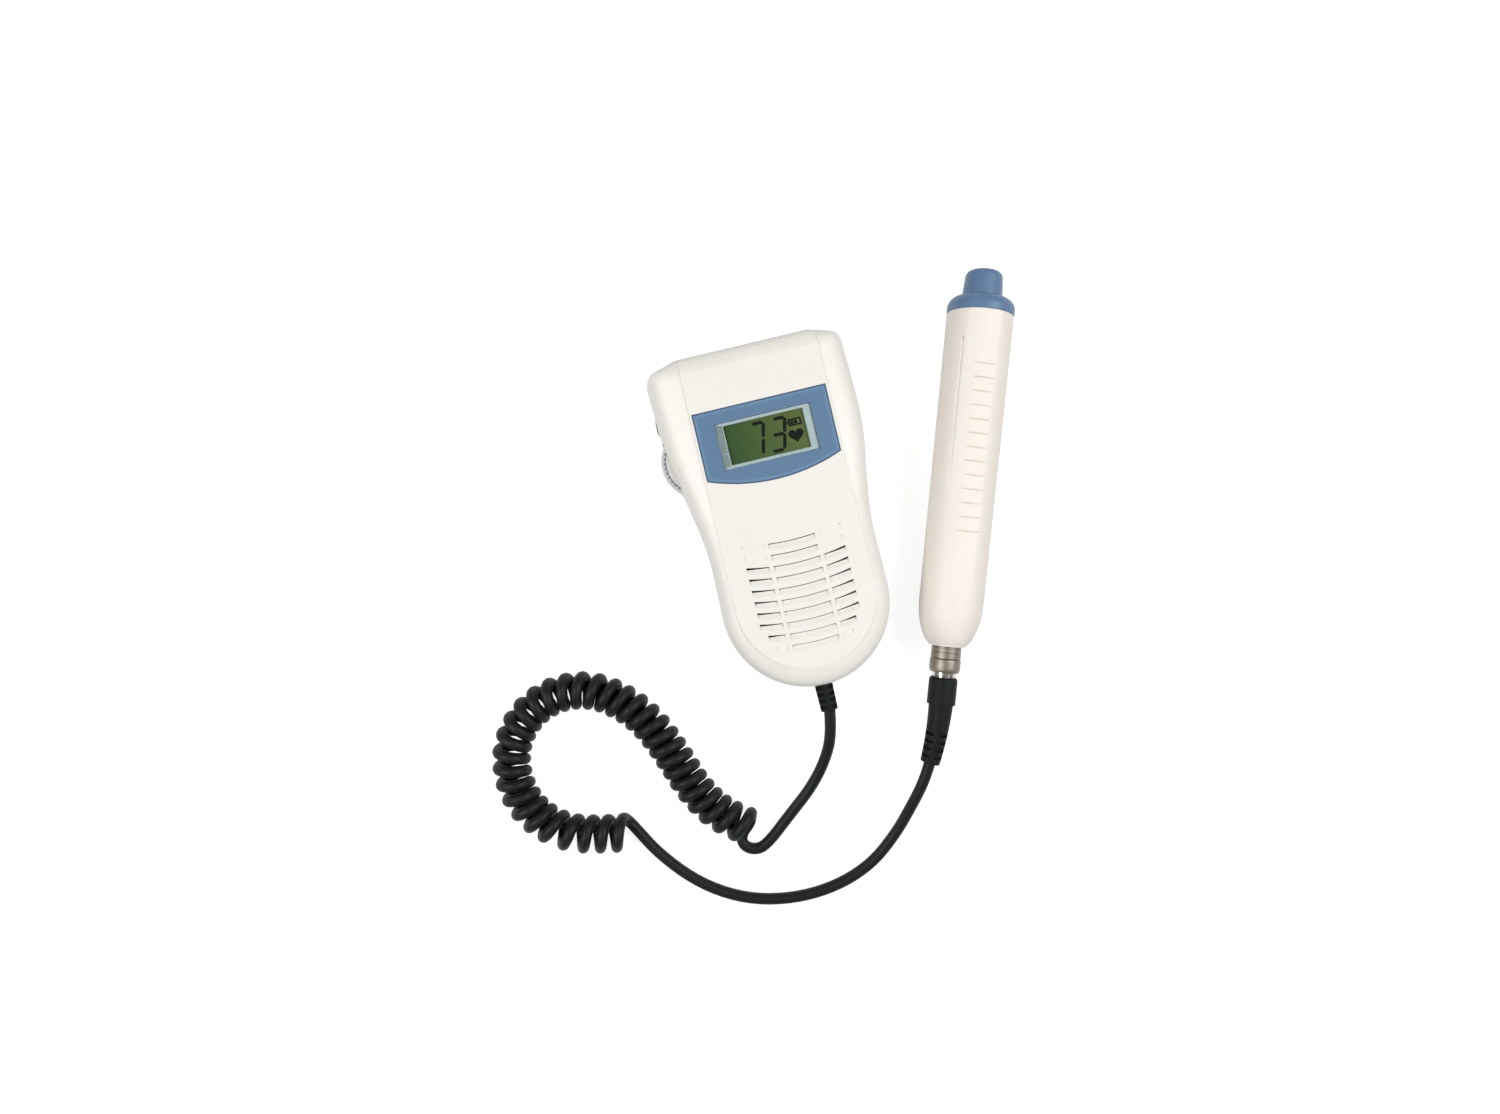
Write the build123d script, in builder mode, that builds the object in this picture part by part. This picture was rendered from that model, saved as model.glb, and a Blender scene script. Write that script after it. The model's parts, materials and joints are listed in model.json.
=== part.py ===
from build123d import *
from math import cos, pi, radians, sin, sqrt, tan
import os

# A hand-held vascular doppler: a main unit, a curly cord and a pencil probe.
# Millimetres. The main unit lies on its back: X across it, Y towards its top end,
# Z out of its front. The origin is the middle of the rear face.

# Main unit, outline at the parting line
PARTING_Z = 16.0
TOP_Y = 66.2
TOP_HALF = 25.5
CORNER_X = 34.6
CORNER_Y = 63.6
CORNER_END_Y = 58.5
SHOULDER_HALF = 38.4
SHOULDER_Y = 38.0
WAIST_HALF = 31.7
WAIST_Y = -14.0
END_R = 32.0
END_Y = -34.0
TOP_LEAN = 1.9
LEAN_Y = 20.0

# Main unit, raised middle panel of the front
FRONT_Z = 34.0
PANEL_HALF = 25.9
PANEL_TOP_Y = 58.0
PANEL_END_Y = -31.4
PANEL_CORNER = 2.0
PANEL_RISE = 0.6
FLANK = [(0.0, 0.0), (0.8, 0.22), (1.0, 1.0)]

# Main unit, rear face and walls
REAR_ROUND = [(0.0, 5.0), (0.25, 1.4), (1.0, 0.0)]
FRONT_STEPS = [(PARTING_Z, 24.0, 0.30), (24.0, 32.0, 0.84)]
REAR_STEPS = [(2.0, 6.0, 4.6), (6.0, PARTING_Z, 1.2)]
WALL = 2.0
LIP_H = 1.0
LIP_WALL = 1.2
LIP_GAP = 0.1
FIT = 0.15

# Display
LABEL_HALF = 25.1
LABEL_TOP = 43.0
LABEL_SIDE_END = 18.0
LABEL_BELLY = 4.8
LABEL_T = 1.0
WINDOW_HALF = 17.9
WINDOW_LOW = 20.5
WINDOW_HIGH = 37.7
PANE_T = 0.8
LCD_HALF = 14.8
LCD_LOW = 21.7
LCD_HIGH = 36.6
LCD_EDGE = 1.0
BEZEL_T = 1.2
LCD_T = 2.6

# Speaker and its grille
GRILLE_ROWS = 10
GRILLE_TOP_Y = -9.7
GRILLE_PITCH = 4.23
GRILLE_ARC_R = 87.0
GRILLE_WEB_X = 9.5
GRILLE_WEB = 1.4
GRILLE_HALF = 18.6
GRILLE_SHORT = [0.0, 0.0, 0.0, 0.0, 0.0, 0.0, 0.0, 0.0, 2.1, 4.1]
GRILLE_SOLID_ROWS = 2
LOUVRE_W = 2.1
LOUVRE_DEPTH = 0.9
SLIT_W = 0.9
SPEAKER_Y = -28.7
SPEAKER_R = 19.5
SPEAKER_FLANGE_T = 1.2
SPEAKER_DEPTH = 6.0
MAGNET_R = 9.5
MAGNET_T = 3.6
CUP_SHARE = 0.72
CONE_FOOT_R = 6.6
CONE_T = 0.9
CONE_STEPS = 4
CONE_STEP_W = 2.4

# Volume dial
DIAL_X = -27.0
DIAL_Y = 27.6
DIAL_R = 12.9
DIAL_RIM_R = 14.1
DIAL_RIM_T = 2.1
DIAL_T = 4.6
DIAL_Z = 18.5
DIAL_SLOT_GAP = 0.6
DIAL_SIDES = 36
DIAL_FACE_R = 12.1
DIAL_FACE_T = 0.8
SHAFT_R = 2.5
RUNNING = 0.05
CONTROL_HALF = 4.0
CONTROL_T = 4.0

# Battery compartment and its door
CELL_R = 7.1
CELL_L = 50.0
CELL_GAP = 0.7
CELL_END_GAP = 1.6
NUB_R = 2.7
PLATE_T = 0.4
BOX_WALL = 1.4
BOX_LOW_Y = 6.6
DOOR_T = 1.8
DOOR_GAP = 0.25

# Board, bosses and screws
BOARD_Z = 25.0
BOARD_T = 1.6
BOARD_HALF = 22.5
BOARD_LOW_Y = -4.0
BOARD_HIGH_Y = 56.0
POST_R = 2.0
BOSS_R = 3.2
SCREW_R = 1.3
SCREW_HEAD_R = 2.4
SCREW_HEAD_T = 1.6
SCREW_SINK = 2.2
SCREW_END_Z = 26.0
BOARD_MODULES = [
    ("signal_chip", (-6.0, 6.0), (1.0, 13.0), 1.6),
    ("power_module", (-19.0, -11.0), (-1.0, 9.0), 3.5),
    ("audio_module", (11.0, 19.0), (-1.0, 11.0), 2.4),
]
BOSSES = [(19.0, -44.5), (28.5, 53.5)]

# Earphone socket in the left-hand side
JACK_Y = 45.0
JACK_Z = 9.0
JACK_BORE_R = 1.8
JACK_RING_R = 3.2
JACK_DEPTH = 14.0
JACK_OUT = 1.6
JACK_BODY_W = 7.2
JACK_BODY_H = 6.0

# Cord
CORD_D = 4.5
RELIEF_Z = 12.0
RELIEF_R = 3.55
RELIEF_TIP_R = 3.3
RELIEF_END_Y = -77.2
RELIEF_SIDES = 16
RELIEF_WINDOW_Y = -67.9
RELIEF_WINDOW_PITCH = 2.5
RELIEF_FLANGE_R = 5.0
RELIEF_FLANGE_T = 1.5
UNIT_RUN = [(0.0, -77.2, 12.0), (0.0, -86.0, 12.0), (-4.6, -97.5, 7.2), (-12.4, -108.6, 3.2)]
PROBE_RUN = [
    (-65.8, -134.0, 2.25),
    (-49.5, -144.2, 2.25),
    (-31.0, -148.9, 2.25),
    (-13.0, -147.6, 2.25),
    (2.5, -142.2, 2.25),
    (14.4, -132.6, 3.0),
    (22.0, -122.8, 7.5),
]
COIL_RUN_L = 11.0
RELIEF_RUN_L = 7.0
RUN_SHARE = 0.45

# Curly part of the cord: a route of (length, turn in degrees) pieces
COIL_OD = 15.1
COIL_CURLS = 32.75
COIL_START = (-44.4, -114.1)
COIL_HEADING = 139.4
COIL_ROUTE = [(29.5, -31.1), (19.0, 4.2), (26.4, 33.1), (66.3, 138.2), (32.1, 61.2), (15.2, 7.0)]
COIL_IN_HEADING = 205.0
COIL_IN_R = 6.5
COIL_OUT_HEADING = 299.0
COIL_STEPS = 12
COIL_IN_STEPS = 5
COIL_OUT_STEPS = 3
COIL_SIDES = 6
CORD_SIDES = 6

# Probe: its axis lies level, from the middle of the body's cable end
PROBE_END = (49.8, -63.3)
PROBE_TURN = 19.2
PROBE_R = 13.05
PROBE_BODY_R = 12.8
PROBE_BODY_L = 128.3
PROBE_ROUND_L = 17.0
PROBE_ROUND_R = 7.2
ROUND_STEPS = 3
HEAD_ROUND_STEPS = 2
PROBE_WALL = 1.8
COLLAR_L = 2.4
COLLAR_ROUND = 4.5
TIP_L = 10.2
TIP_R = 7.7
TIP_END_R = 7.15
TIP_ROUND = 2.2
FACE_R = 4.2
FACE_T = 1.0
CRYSTAL_ROOM_R = 4.0
CRYSTAL_GAP = 0.6
CRYSTAL_W = 2.2
CRYSTAL_T = 0.8
PROBE_BOARD_START = 22.0
SPIGOT_L = 6.0
SPIGOT_GAP = 0.15
GRIP_RIBS = 13
GRIP_PITCH = 5.28
GRIP_FIRST = 39.2
GRIP_HALF = 3.6
GRIP_DEPTH = 0.7
LINE_TURN = 36.0
LINE_START = 117.0
LINE_L = 58.0
LINE_W = 0.9
LINE_DEPTH = 0.3

# Connector between cord and probe
SOCKET_R = 5.7
SOCKET_OUT = 4.9
SOCKET_BORE_R = 4.05
SOCKET_NUT_R = 6.6
SOCKET_NUT_T = 2.5
NOSE_R = 4.0
NOSE_L = 9.0
NOSE_BORE_R = 3.2
COLLAR_STEP = 1.2
SLEEVE_R = 5.9
SLEEVE_L = 5.4
SLEEVE_GAP = 0.1
NECK_R = 4.45
NECK_L = 1.9
BOOT_R = 5.45
BOOT_L = 10.6
PLUG_RELIEF_R = 4.65
PLUG_RELIEF_TIP_R = 3.8
PLUG_RELIEF_L = 23.0
PLUG_RELIEF_TURN = 4.6
PLUG_RELIEF_DIP = 1.6
PLUG_RELIEF_SIDES = 12
PLUG_WINDOW_PITCH = 2.9
WINDOW_ROWS = 4
WINDOW_DEPTH = 0.8
WINDOW_W = 2.4
WINDOW_L = 1.2
PIN_HALF = 0.4
PIN_OFFSET = 1.5
PIN_L = 4.5

os.makedirs("parts", exist_ok=True)


def keep(builder, name):
    """Labels a finished piece and writes its file."""
    builder.part.label = name
    export_step(builder.part, f"parts/{name}.step")


def lean(y):
    """How far the housing leans to the left at y."""
    return TOP_LEAN * max(0.0, y - LEAN_Y) / (TOP_Y - LEAN_Y)


def outline(z, share=0.0, inset=0.0, plain=False):
    """Face of the housing's outline at height z.

    share moves it from the parting line's outline (0) to the raised panel's (1),
    inset draws it in all round, and plain gives the inside's straight sides.
    """
    def between(outer, inner):
        return outer + (inner - outer) * share

    def place(x, y):
        return x - lean(y) * (1 - share), y

    top = between(TOP_Y, PANEL_TOP_Y) - inset
    half = between(SHOULDER_HALF, PANEL_HALF) - inset
    end_r = between(END_R, PANEL_HALF) - inset
    end_y = between(END_Y, PANEL_END_Y)
    flat = (between(TOP_HALF, PANEL_HALF - PANEL_CORNER) - inset, top)
    slope = (between(CORNER_X, PANEL_HALF - PANEL_CORNER / 2) - inset, between(CORNER_Y, PANEL_TOP_Y) - inset)
    corner = (half, slope[1] - (slope[0] - half) * (flat[1] - slope[1]) / (flat[0] - slope[0]))
    side = (half, between(CORNER_END_Y, PANEL_TOP_Y - PANEL_CORNER) - inset)
    shoulder = (half, SHOULDER_Y)
    waist = (between(WAIST_HALF, PANEL_HALF) - inset, WAIST_Y)
    foot = (end_r, end_y)
    with BuildSketch(Plane.XY.offset(z)) as face:
        with BuildLine():
            Line(place(-flat[0], flat[1]), place(*flat))
            for sign in (1, -1):
                here = [place(sign * x, y) for x, y in (flat, slope, corner, side, shoulder, waist, foot)]
                if plain:
                    Polyline(here[0], here[1], *here[3:])
                    continue
                Line(here[0], here[1])
                Bezier(here[1], here[2], here[3])
                Line(here[3], here[4])
                Spline(here[4], here[5], tangents=[(0, -1), (0, -1)])
                Line(here[5], here[6])
            ThreePointArc(foot, (0, end_y - end_r), (-end_r, end_y))
        make_face()
    return face.sketch


def front_form(inset=0.0, rise=0.0):
    """Solid of the front half, from the parting line up, drawn in by inset and raised by rise."""
    height = FRONT_Z - PARTING_Z + rise
    with BuildPart(mode=Mode.PRIVATE) as form:
        loft([outline(PARTING_Z + height * up, share, inset) for up, share in FLANK], ruled=True)
    return form.part


def rear_form():
    """Solid of the rear half, from the rear face up to the parting line."""
    with BuildPart(mode=Mode.PRIVATE) as form:
        loft([outline(PARTING_Z * up, 0.0, draw) for up, draw in REAR_ROUND], ruled=True)
    return form.part


def prism(face, height):
    """Upright solid on a face."""
    return extrude(face, amount=height, dir=(0, 0, 1), mode=Mode.PRIVATE)


def block(x, y, z):
    """Box between the low and high values given for each direction."""
    middle = [(low + high) / 2 for low, high in (x, y, z)]
    return Pos(*middle) * Box(x[1] - x[0], y[1] - y[0], z[1] - z[0], mode=Mode.PRIVATE)


def pillar(x, y, z, radius, sides=0):
    """Upright pillar between the two heights in z, round or with flat sides."""
    if sides == 0:
        return Pos(x, y, (z[0] + z[1]) / 2) * Cylinder(radius, z[1] - z[0], mode=Mode.PRIVATE)
    with BuildSketch(Plane((x, y, z[0]))) as foot:
        RegularPolygon(radius, sides)
    return prism(foot.sketch, z[1] - z[0])


def both_sides(points):
    """The points and their mirror images across the middle plane."""
    return [(side * x, y) for x, y in points for side in (1, -1)]


# Levels that several pieces share
PANEL_Z = FRONT_Z + PANEL_RISE
LABEL_SEAT_Z = PANEL_Z - LABEL_T
ROOF_Z = DOOR_T + 2 * CELL_R + CELL_GAP
BOX_TOP_Z = ROOF_Z + BOX_WALL
CELL_Z = DOOR_T + CELL_R + CELL_GAP / 2
CELL_X = CELL_R + CELL_GAP / 2
BOX_HALF = 2 * CELL_R + 1.5 * CELL_GAP
BOX_HIGH_Y = BOX_LOW_Y + CELL_L + 2 * CELL_END_GAP
INSIDE_Z = PANEL_Z - WALL - PANEL_RISE
PANE_Z = PANEL_Z - PANE_T
BEZEL_Z = PANE_Z - BEZEL_T
LCD_Z = BEZEL_Z - LCD_T
BOARD_TOP_Z = BOARD_Z + BOARD_T
CORD_Z = CORD_D / 2


# Front shell
def label_face(z, gap=0.0):
    """Face of the display label: straight sides and a bowed lower edge."""
    half = LABEL_HALF + gap
    with BuildSketch(Plane.XY.offset(z)) as face:
        with BuildLine():
            Polyline(
                (-half, LABEL_SIDE_END - gap),
                (-half, LABEL_TOP + gap),
                (half, LABEL_TOP + gap),
                (half, LABEL_SIDE_END - gap),
            )
            ThreePointArc(
                (half, LABEL_SIDE_END - gap),
                (0, LABEL_SIDE_END - LABEL_BELLY - gap),
                (-half, LABEL_SIDE_END - gap),
            )
        make_face()
    return face.sketch


def window_face(z, gap=0.0):
    """Face of the display window."""
    with BuildSketch(Plane.XY.offset(z)) as face:
        with Locations((0, (WINDOW_LOW + WINDOW_HIGH) / 2)):
            Rectangle(2 * (WINDOW_HALF + gap), WINDOW_HIGH - WINDOW_LOW + 2 * gap)
    return face.sketch


def louvres(z, width, offset, rows):
    """Faces of the grille's bowed slots, each width wide and offset up from its row's line."""
    with BuildSketch(Plane.XY.offset(z)) as face:
        for row in rows:
            middle = GRILLE_TOP_Y - GRILLE_PITCH * row + offset
            reach = GRILLE_HALF - GRILLE_SHORT[row]
            spans = [(-GRILLE_WEB_X + GRILLE_WEB / 2, GRILLE_WEB_X - GRILLE_WEB / 2)]
            if row >= GRILLE_SOLID_ROWS or width > SLIT_W:
                spans += [(GRILLE_WEB_X + GRILLE_WEB / 2, reach), (-reach, -GRILLE_WEB_X - GRILLE_WEB / 2)]
            for low, high in spans:
                stations = (low, 0.0, high) if low < 0 < high else (low, high)
                bow = [(x, middle + GRILLE_ARC_R - sqrt(GRILLE_ARC_R**2 - x**2)) for x in stations]
                with BuildLine():
                    Polyline(
                        *[(x, y - width / 2) for x, y in bow],
                        *[(x, y + width / 2) for x, y in reversed(bow)],
                        close=True,
                    )
                make_face()
    return face.sketch


with BuildPart() as panel_form:
    with BuildSketch(Plane.XY.offset(PARTING_Z)):
        with BuildLine():
            Polyline(
                (-PANEL_HALF, PANEL_END_Y),
                (-PANEL_HALF, TOP_Y + PANEL_RISE),
                (PANEL_HALF, TOP_Y + PANEL_RISE),
                (PANEL_HALF, PANEL_END_Y),
            )
            ThreePointArc(
                (PANEL_HALF, PANEL_END_Y), (0, PANEL_END_Y - PANEL_HALF), (-PANEL_HALF, PANEL_END_Y)
            )
        make_face()
    extrude(amount=FRONT_Z)
    add(front_form(-PANEL_RISE, PANEL_RISE), mode=Mode.INTERSECT)

inner_skin = front_form(WALL / 2, -WALL / 2)
with BuildPart() as front_shell:
    add(front_form())
    add(panel_form.part)
    for low, high, share in FRONT_STEPS:
        add(prism(outline(low, share, WALL, True), high - low), mode=Mode.SUBTRACT)
    # Rebate for the rear shell's lip
    with BuildSketch(Plane.XY.offset(PARTING_Z)):
        add(outline(0, 0, LIP_WALL, True))
    extrude(amount=LIP_H + LIP_GAP, mode=Mode.SUBTRACT)
    # Seat of the label and the window under it
    with BuildSketch(Plane.XY.offset(LABEL_SEAT_Z)):
        add(label_face(0, FIT))
    extrude(amount=PANEL_Z, mode=Mode.SUBTRACT)
    with BuildSketch(Plane.XY.offset(BOARD_TOP_Z)):
        add(window_face(0, FIT))
    extrude(amount=PANEL_Z, mode=Mode.SUBTRACT)
    # Louvres: a wide shallow groove with a narrow slit along its upper edge
    with BuildSketch(Plane.XY.offset(PANEL_Z - LOUVRE_DEPTH)):
        add(louvres(0, LOUVRE_W, 0.0, range(GRILLE_ROWS)))
    extrude(amount=2 * LOUVRE_DEPTH, mode=Mode.SUBTRACT)
    with BuildSketch(Plane.XY.offset(INSIDE_Z - WALL)):
        add(louvres(0, SLIT_W, (LOUVRE_W - SLIT_W) / 2, range(GRILLE_ROWS)))
    extrude(amount=2 * WALL + PANEL_Z, mode=Mode.SUBTRACT)
    # Slot that the dial stands out of
    add(
        pillar(DIAL_X, DIAL_Y, (DIAL_Z - DIAL_SLOT_GAP, DIAL_Z + DIAL_T + DIAL_SLOT_GAP), DIAL_RIM_R + DIAL_SLOT_GAP),
        mode=Mode.SUBTRACT,
    )
    # Screw bosses
    for x, y in both_sides(BOSSES):
        add(pillar(x, y, (PARTING_Z + LIP_GAP, FRONT_Z), BOSS_R, 12) & inner_skin)
        add(pillar(x, y, (PARTING_Z, SCREW_END_Z + LIP_GAP), SCREW_R, 8), mode=Mode.SUBTRACT)
keep(front_shell, "front_shell")

# Rear shell: battery box open at the back, posts for the board, bosses for the screws
def level_bar(left, radius):
    """Bar along X through the earphone socket, between the two distances to the left."""
    with BuildPart(mode=Mode.PRIVATE) as solid:
        with BuildSketch(Plane((-left[0], JACK_Y, JACK_Z), x_dir=(0, 1, 0), z_dir=(-1, 0, 0))):
            Circle(radius)
        extrude(amount=left[1] - left[0])
    return solid.part


def relief_bar(y, start_r, end_r):
    """Many-sided bar along the cord's way out, between the two distances in y."""
    with BuildPart(mode=Mode.PRIVATE) as bar:
        for distance, radius in zip(y, (start_r, end_r)):
            with BuildSketch(Plane((0, distance, RELIEF_Z), x_dir=(1, 0, 0), z_dir=(0, -1, 0))):
                RegularPolygon(radius, RELIEF_SIDES)
        loft(ruled=True)
    return bar.part


JACK_WALL_X = SHOULDER_HALF + lean(JACK_Y - JACK_BODY_W / 2) - REAR_STEPS[1][2] - WALL
END_TIP_Y = END_Y - END_R
CONTROL_X = (DIAL_X - CONTROL_HALF, DIAL_X + CONTROL_HALF)
CONTROL_Y = (DIAL_Y - CONTROL_HALF, DIAL_Y + CONTROL_HALF)
DOOR_HALF = BOX_HALF
DOOR_LOW_Y = BOX_LOW_Y
rear_outer = rear_form()
door_region = block((-DOOR_HALF, DOOR_HALF), (DOOR_LOW_Y, TOP_Y + WALL), (-DOOR_T, DOOR_T))
board_posts = [(BOARD_HALF - 2 * POST_R, BOARD_LOW_Y + 2 * POST_R), (BOARD_HALF - 2 * POST_R, BOARD_HIGH_Y - 2 * POST_R)]
with BuildPart() as rear_shell:
    add(rear_outer)
    for low, high, draw in REAR_STEPS:
        add(prism(outline(low, 0.0, draw + WALL, True), high - low), mode=Mode.SUBTRACT)
    with BuildSketch(Plane.XY.offset(PARTING_Z)):
        add(outline(0, 0, LIP_WALL + LIP_GAP, True))
        add(outline(0, 0, WALL, True), mode=Mode.SUBTRACT)
    extrude(amount=LIP_H)
    add(
        block(
            (-BOX_HALF - BOX_WALL, BOX_HALF + BOX_WALL),
            (BOX_LOW_Y - BOX_WALL, BOX_HIGH_Y + BOX_WALL),
            (WALL / 2, BOX_TOP_Z),
        )
    )
    for x, y in both_sides(BOSSES):
        add(pillar(x, y, (SCREW_SINK / 2, PARTING_Z), BOSS_R, 12) & rear_outer)
    for x, y in both_sides(board_posts):
        add(block((x - POST_R, x + POST_R), (y - POST_R, y + POST_R), (WALL / 2, BOARD_Z)))
    add(block(CONTROL_X, CONTROL_Y, (WALL / 2, DIAL_Z - RUNNING - CONTROL_T)))
    add(block((-BOX_HALF, BOX_HALF), (BOX_LOW_Y, BOX_HIGH_Y), (DOOR_T, ROOF_Z)), mode=Mode.SUBTRACT)
    add(door_region, mode=Mode.SUBTRACT)
    for x, y in both_sides(BOSSES):
        add(pillar(x, y, (-WALL, SCREW_SINK + SCREW_HEAD_T), SCREW_HEAD_R + FIT), mode=Mode.SUBTRACT)
        add(pillar(x, y, (0, PARTING_Z + LIP_H), SCREW_R + FIT, 8), mode=Mode.SUBTRACT)
    # Holes for the earphone socket and the cord
    add(level_bar((JACK_WALL_X - WALL, SHOULDER_HALF + 2 * WALL), JACK_RING_R + FIT), mode=Mode.SUBTRACT)
    add(relief_bar((END_TIP_Y - WALL, END_TIP_Y + 2 * WALL), RELIEF_R + FIT, RELIEF_R + FIT), mode=Mode.SUBTRACT)
keep(rear_shell, "rear_shell")

with BuildPart() as battery_door:
    add(rear_outer)
    add(
        block(
            (-DOOR_HALF + DOOR_GAP, DOOR_HALF - DOOR_GAP),
            (DOOR_LOW_Y + DOOR_GAP, TOP_Y + WALL),
            (-DOOR_T, DOOR_T - DOOR_GAP),
        ),
        mode=Mode.INTERSECT,
    )
keep(battery_door, "battery_door")


# Display: printed label, window, bezel, glass and the holder on the board
with BuildPart() as display_panel:
    with BuildSketch(Plane.XY.offset(LABEL_SEAT_Z)):
        add(label_face(0))
        add(window_face(0, FIT), mode=Mode.SUBTRACT)
    extrude(amount=LABEL_T)
keep(display_panel, "display_panel")

with BuildPart() as display_window:
    with BuildSketch(Plane.XY.offset(PANE_Z)):
        add(window_face(0))
    extrude(amount=PANE_T)
keep(display_window, "display_window")

lcd_x = (-LCD_HALF - LCD_EDGE, LCD_HALF + LCD_EDGE)
lcd_y = (LCD_LOW - LCD_EDGE, LCD_HIGH + LCD_EDGE)
with BuildPart() as lcd_bezel:
    with BuildSketch(Plane.XY.offset(BEZEL_Z)):
        add(window_face(0))
    extrude(amount=BEZEL_T)
    add(block((-LCD_HALF, LCD_HALF), (LCD_LOW, LCD_HIGH), (LCD_Z, PANEL_Z)), mode=Mode.SUBTRACT)
keep(lcd_bezel, "lcd_bezel")

with BuildPart() as lcd_glass:
    add(block(lcd_x, lcd_y, (LCD_Z, BEZEL_Z)))
keep(lcd_glass, "lcd_glass")

with BuildPart() as lcd_holder:
    add(block(lcd_x, lcd_y, (BOARD_TOP_Z, LCD_Z)))
keep(lcd_holder, "lcd_holder")

# Board and the larger things on it
with BuildPart() as main_board:
    add(block((-BOARD_HALF, BOARD_HALF), (BOARD_LOW_Y, BOARD_HIGH_Y), (BOARD_Z, BOARD_TOP_Z)))
keep(main_board, "main_board")

for name, x, y, height in BOARD_MODULES:
    with BuildPart() as module:
        add(block(x, y, (BOARD_TOP_Z, BOARD_TOP_Z + height)))
    keep(module, name)

# Loudspeaker, face up against the inside of the grille
flange_z = INSIDE_Z - SPEAKER_FLANGE_T
magnet_z = INSIDE_Z - SPEAKER_DEPTH
with BuildPart() as speaker_frame:
    add(pillar(0, SPEAKER_Y, (flange_z, INSIDE_Z), SPEAKER_R, 24))
    add(pillar(0, SPEAKER_Y, (magnet_z, flange_z), SPEAKER_R * CUP_SHARE + WALL / 2, 16))
    add(pillar(0, SPEAKER_Y, (magnet_z + WALL / 2, INSIDE_Z), SPEAKER_R * CUP_SHARE, 16), mode=Mode.SUBTRACT)
keep(speaker_frame, "speaker_frame")

with BuildPart() as speaker_cone:
    cone_foot = magnet_z + WALL / 2
    for step in range(CONE_STEPS):
        radius = SPEAKER_R * CUP_SHARE - 2 * FIT - (CONE_STEPS - 1 - step) * CONE_STEP_W
        height = (cone_foot + step * CONE_T, cone_foot + (step + 1) * CONE_T)
        add(pillar(0, SPEAKER_Y, height, radius, 16))
        add(pillar(0, SPEAKER_Y, height, radius - 1.5 * CONE_STEP_W, 16), mode=Mode.SUBTRACT)
    add(pillar(0, SPEAKER_Y, (cone_foot, cone_foot + CONE_T), CONE_FOOT_R, 16))
keep(speaker_cone, "speaker_cone")

with BuildPart() as speaker_magnet:
    add(pillar(0, SPEAKER_Y, (magnet_z - MAGNET_T, magnet_z), MAGNET_R, 16))
keep(speaker_magnet, "speaker_magnet")

# Volume dial, the disc let into it and the control it turns on
dial_top = DIAL_Z + DIAL_T
disc_z = dial_top - DIAL_FACE_T
with BuildPart() as volume_dial:
    add(pillar(DIAL_X, DIAL_Y, (DIAL_Z, dial_top), DIAL_R, DIAL_SIDES))
    add(pillar(DIAL_X, DIAL_Y, (DIAL_Z, DIAL_Z + DIAL_RIM_T), DIAL_RIM_R, DIAL_SIDES))
    add(pillar(DIAL_X, DIAL_Y, (disc_z, dial_top + WALL), DIAL_FACE_R + FIT, DIAL_SIDES), mode=Mode.SUBTRACT)
    add(pillar(DIAL_X, DIAL_Y, (DIAL_Z - WALL, dial_top), SHAFT_R + RUNNING), mode=Mode.SUBTRACT)
keep(volume_dial, "volume_dial")

with BuildPart() as dial_face:
    add(pillar(DIAL_X, DIAL_Y, (disc_z, dial_top), DIAL_FACE_R, DIAL_SIDES))
keep(dial_face, "dial_face")

with BuildPart() as volume_control:
    add(block(CONTROL_X, CONTROL_Y, (DIAL_Z - RUNNING - CONTROL_T, DIAL_Z - RUNNING)))
    add(pillar(DIAL_X, DIAL_Y, (DIAL_Z - CONTROL_T / 2, disc_z - RUNNING), SHAFT_R))
keep(volume_control, "volume_control")

# Earphone socket, its threaded ring through the wall
jack_face_x = SHOULDER_HALF + JACK_OUT
with BuildPart() as earphone_jack:
    add(
        block(
            (-JACK_WALL_X, JACK_DEPTH - JACK_WALL_X),
            (JACK_Y - JACK_BODY_W / 2, JACK_Y + JACK_BODY_W / 2),
            (JACK_Z - JACK_BODY_H / 2, JACK_Z + JACK_BODY_H / 2),
        )
    )
    add(level_bar((JACK_WALL_X - WALL, jack_face_x), JACK_RING_R))
    add(level_bar((JACK_WALL_X - JACK_DEPTH + WALL, jack_face_x + WALL), JACK_BORE_R), mode=Mode.SUBTRACT)
keep(earphone_jack, "earphone_jack")


# Batteries, side by side and opposite ways round, and their contacts
def cell_bar(x, y, radius, sides):
    """Many-sided bar along Y at a cell's axis, between the two distances in y."""
    with BuildPart(mode=Mode.PRIVATE) as bar:
        with BuildSketch(Plane((x, y[0], CELL_Z), x_dir=(1, 0, 0), z_dir=(0, 1, 0))):
            RegularPolygon(radius, sides)
        extrude(amount=y[1] - y[0])
    return bar.part


cell_low = BOX_LOW_Y + CELL_END_GAP
cell_high = BOX_HIGH_Y - CELL_END_GAP
low_plate = (BOX_LOW_Y, BOX_LOW_Y + PLATE_T)
high_plate = (BOX_HIGH_Y - PLATE_T, BOX_HIGH_Y)
low_gap = (BOX_LOW_Y + PLATE_T / 2, cell_low)
high_gap = (cell_high, BOX_HIGH_Y - PLATE_T / 2)
low_nub = (BOX_LOW_Y + PLATE_T, cell_low + PLATE_T)
high_nub = (cell_high - PLATE_T, BOX_HIGH_Y - PLATE_T)
plate_z = (CELL_Z - CELL_R / 2, CELL_Z + CELL_R / 2)
for name, x, nub in (("battery_left", -CELL_X, high_nub), ("battery_right", CELL_X, low_nub)):
    with BuildPart() as cell:
        add(cell_bar(x, (cell_low, cell_high), CELL_R, 20))
        add(cell_bar(x, nub, NUB_R, 8))
    keep(cell, name)

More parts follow.
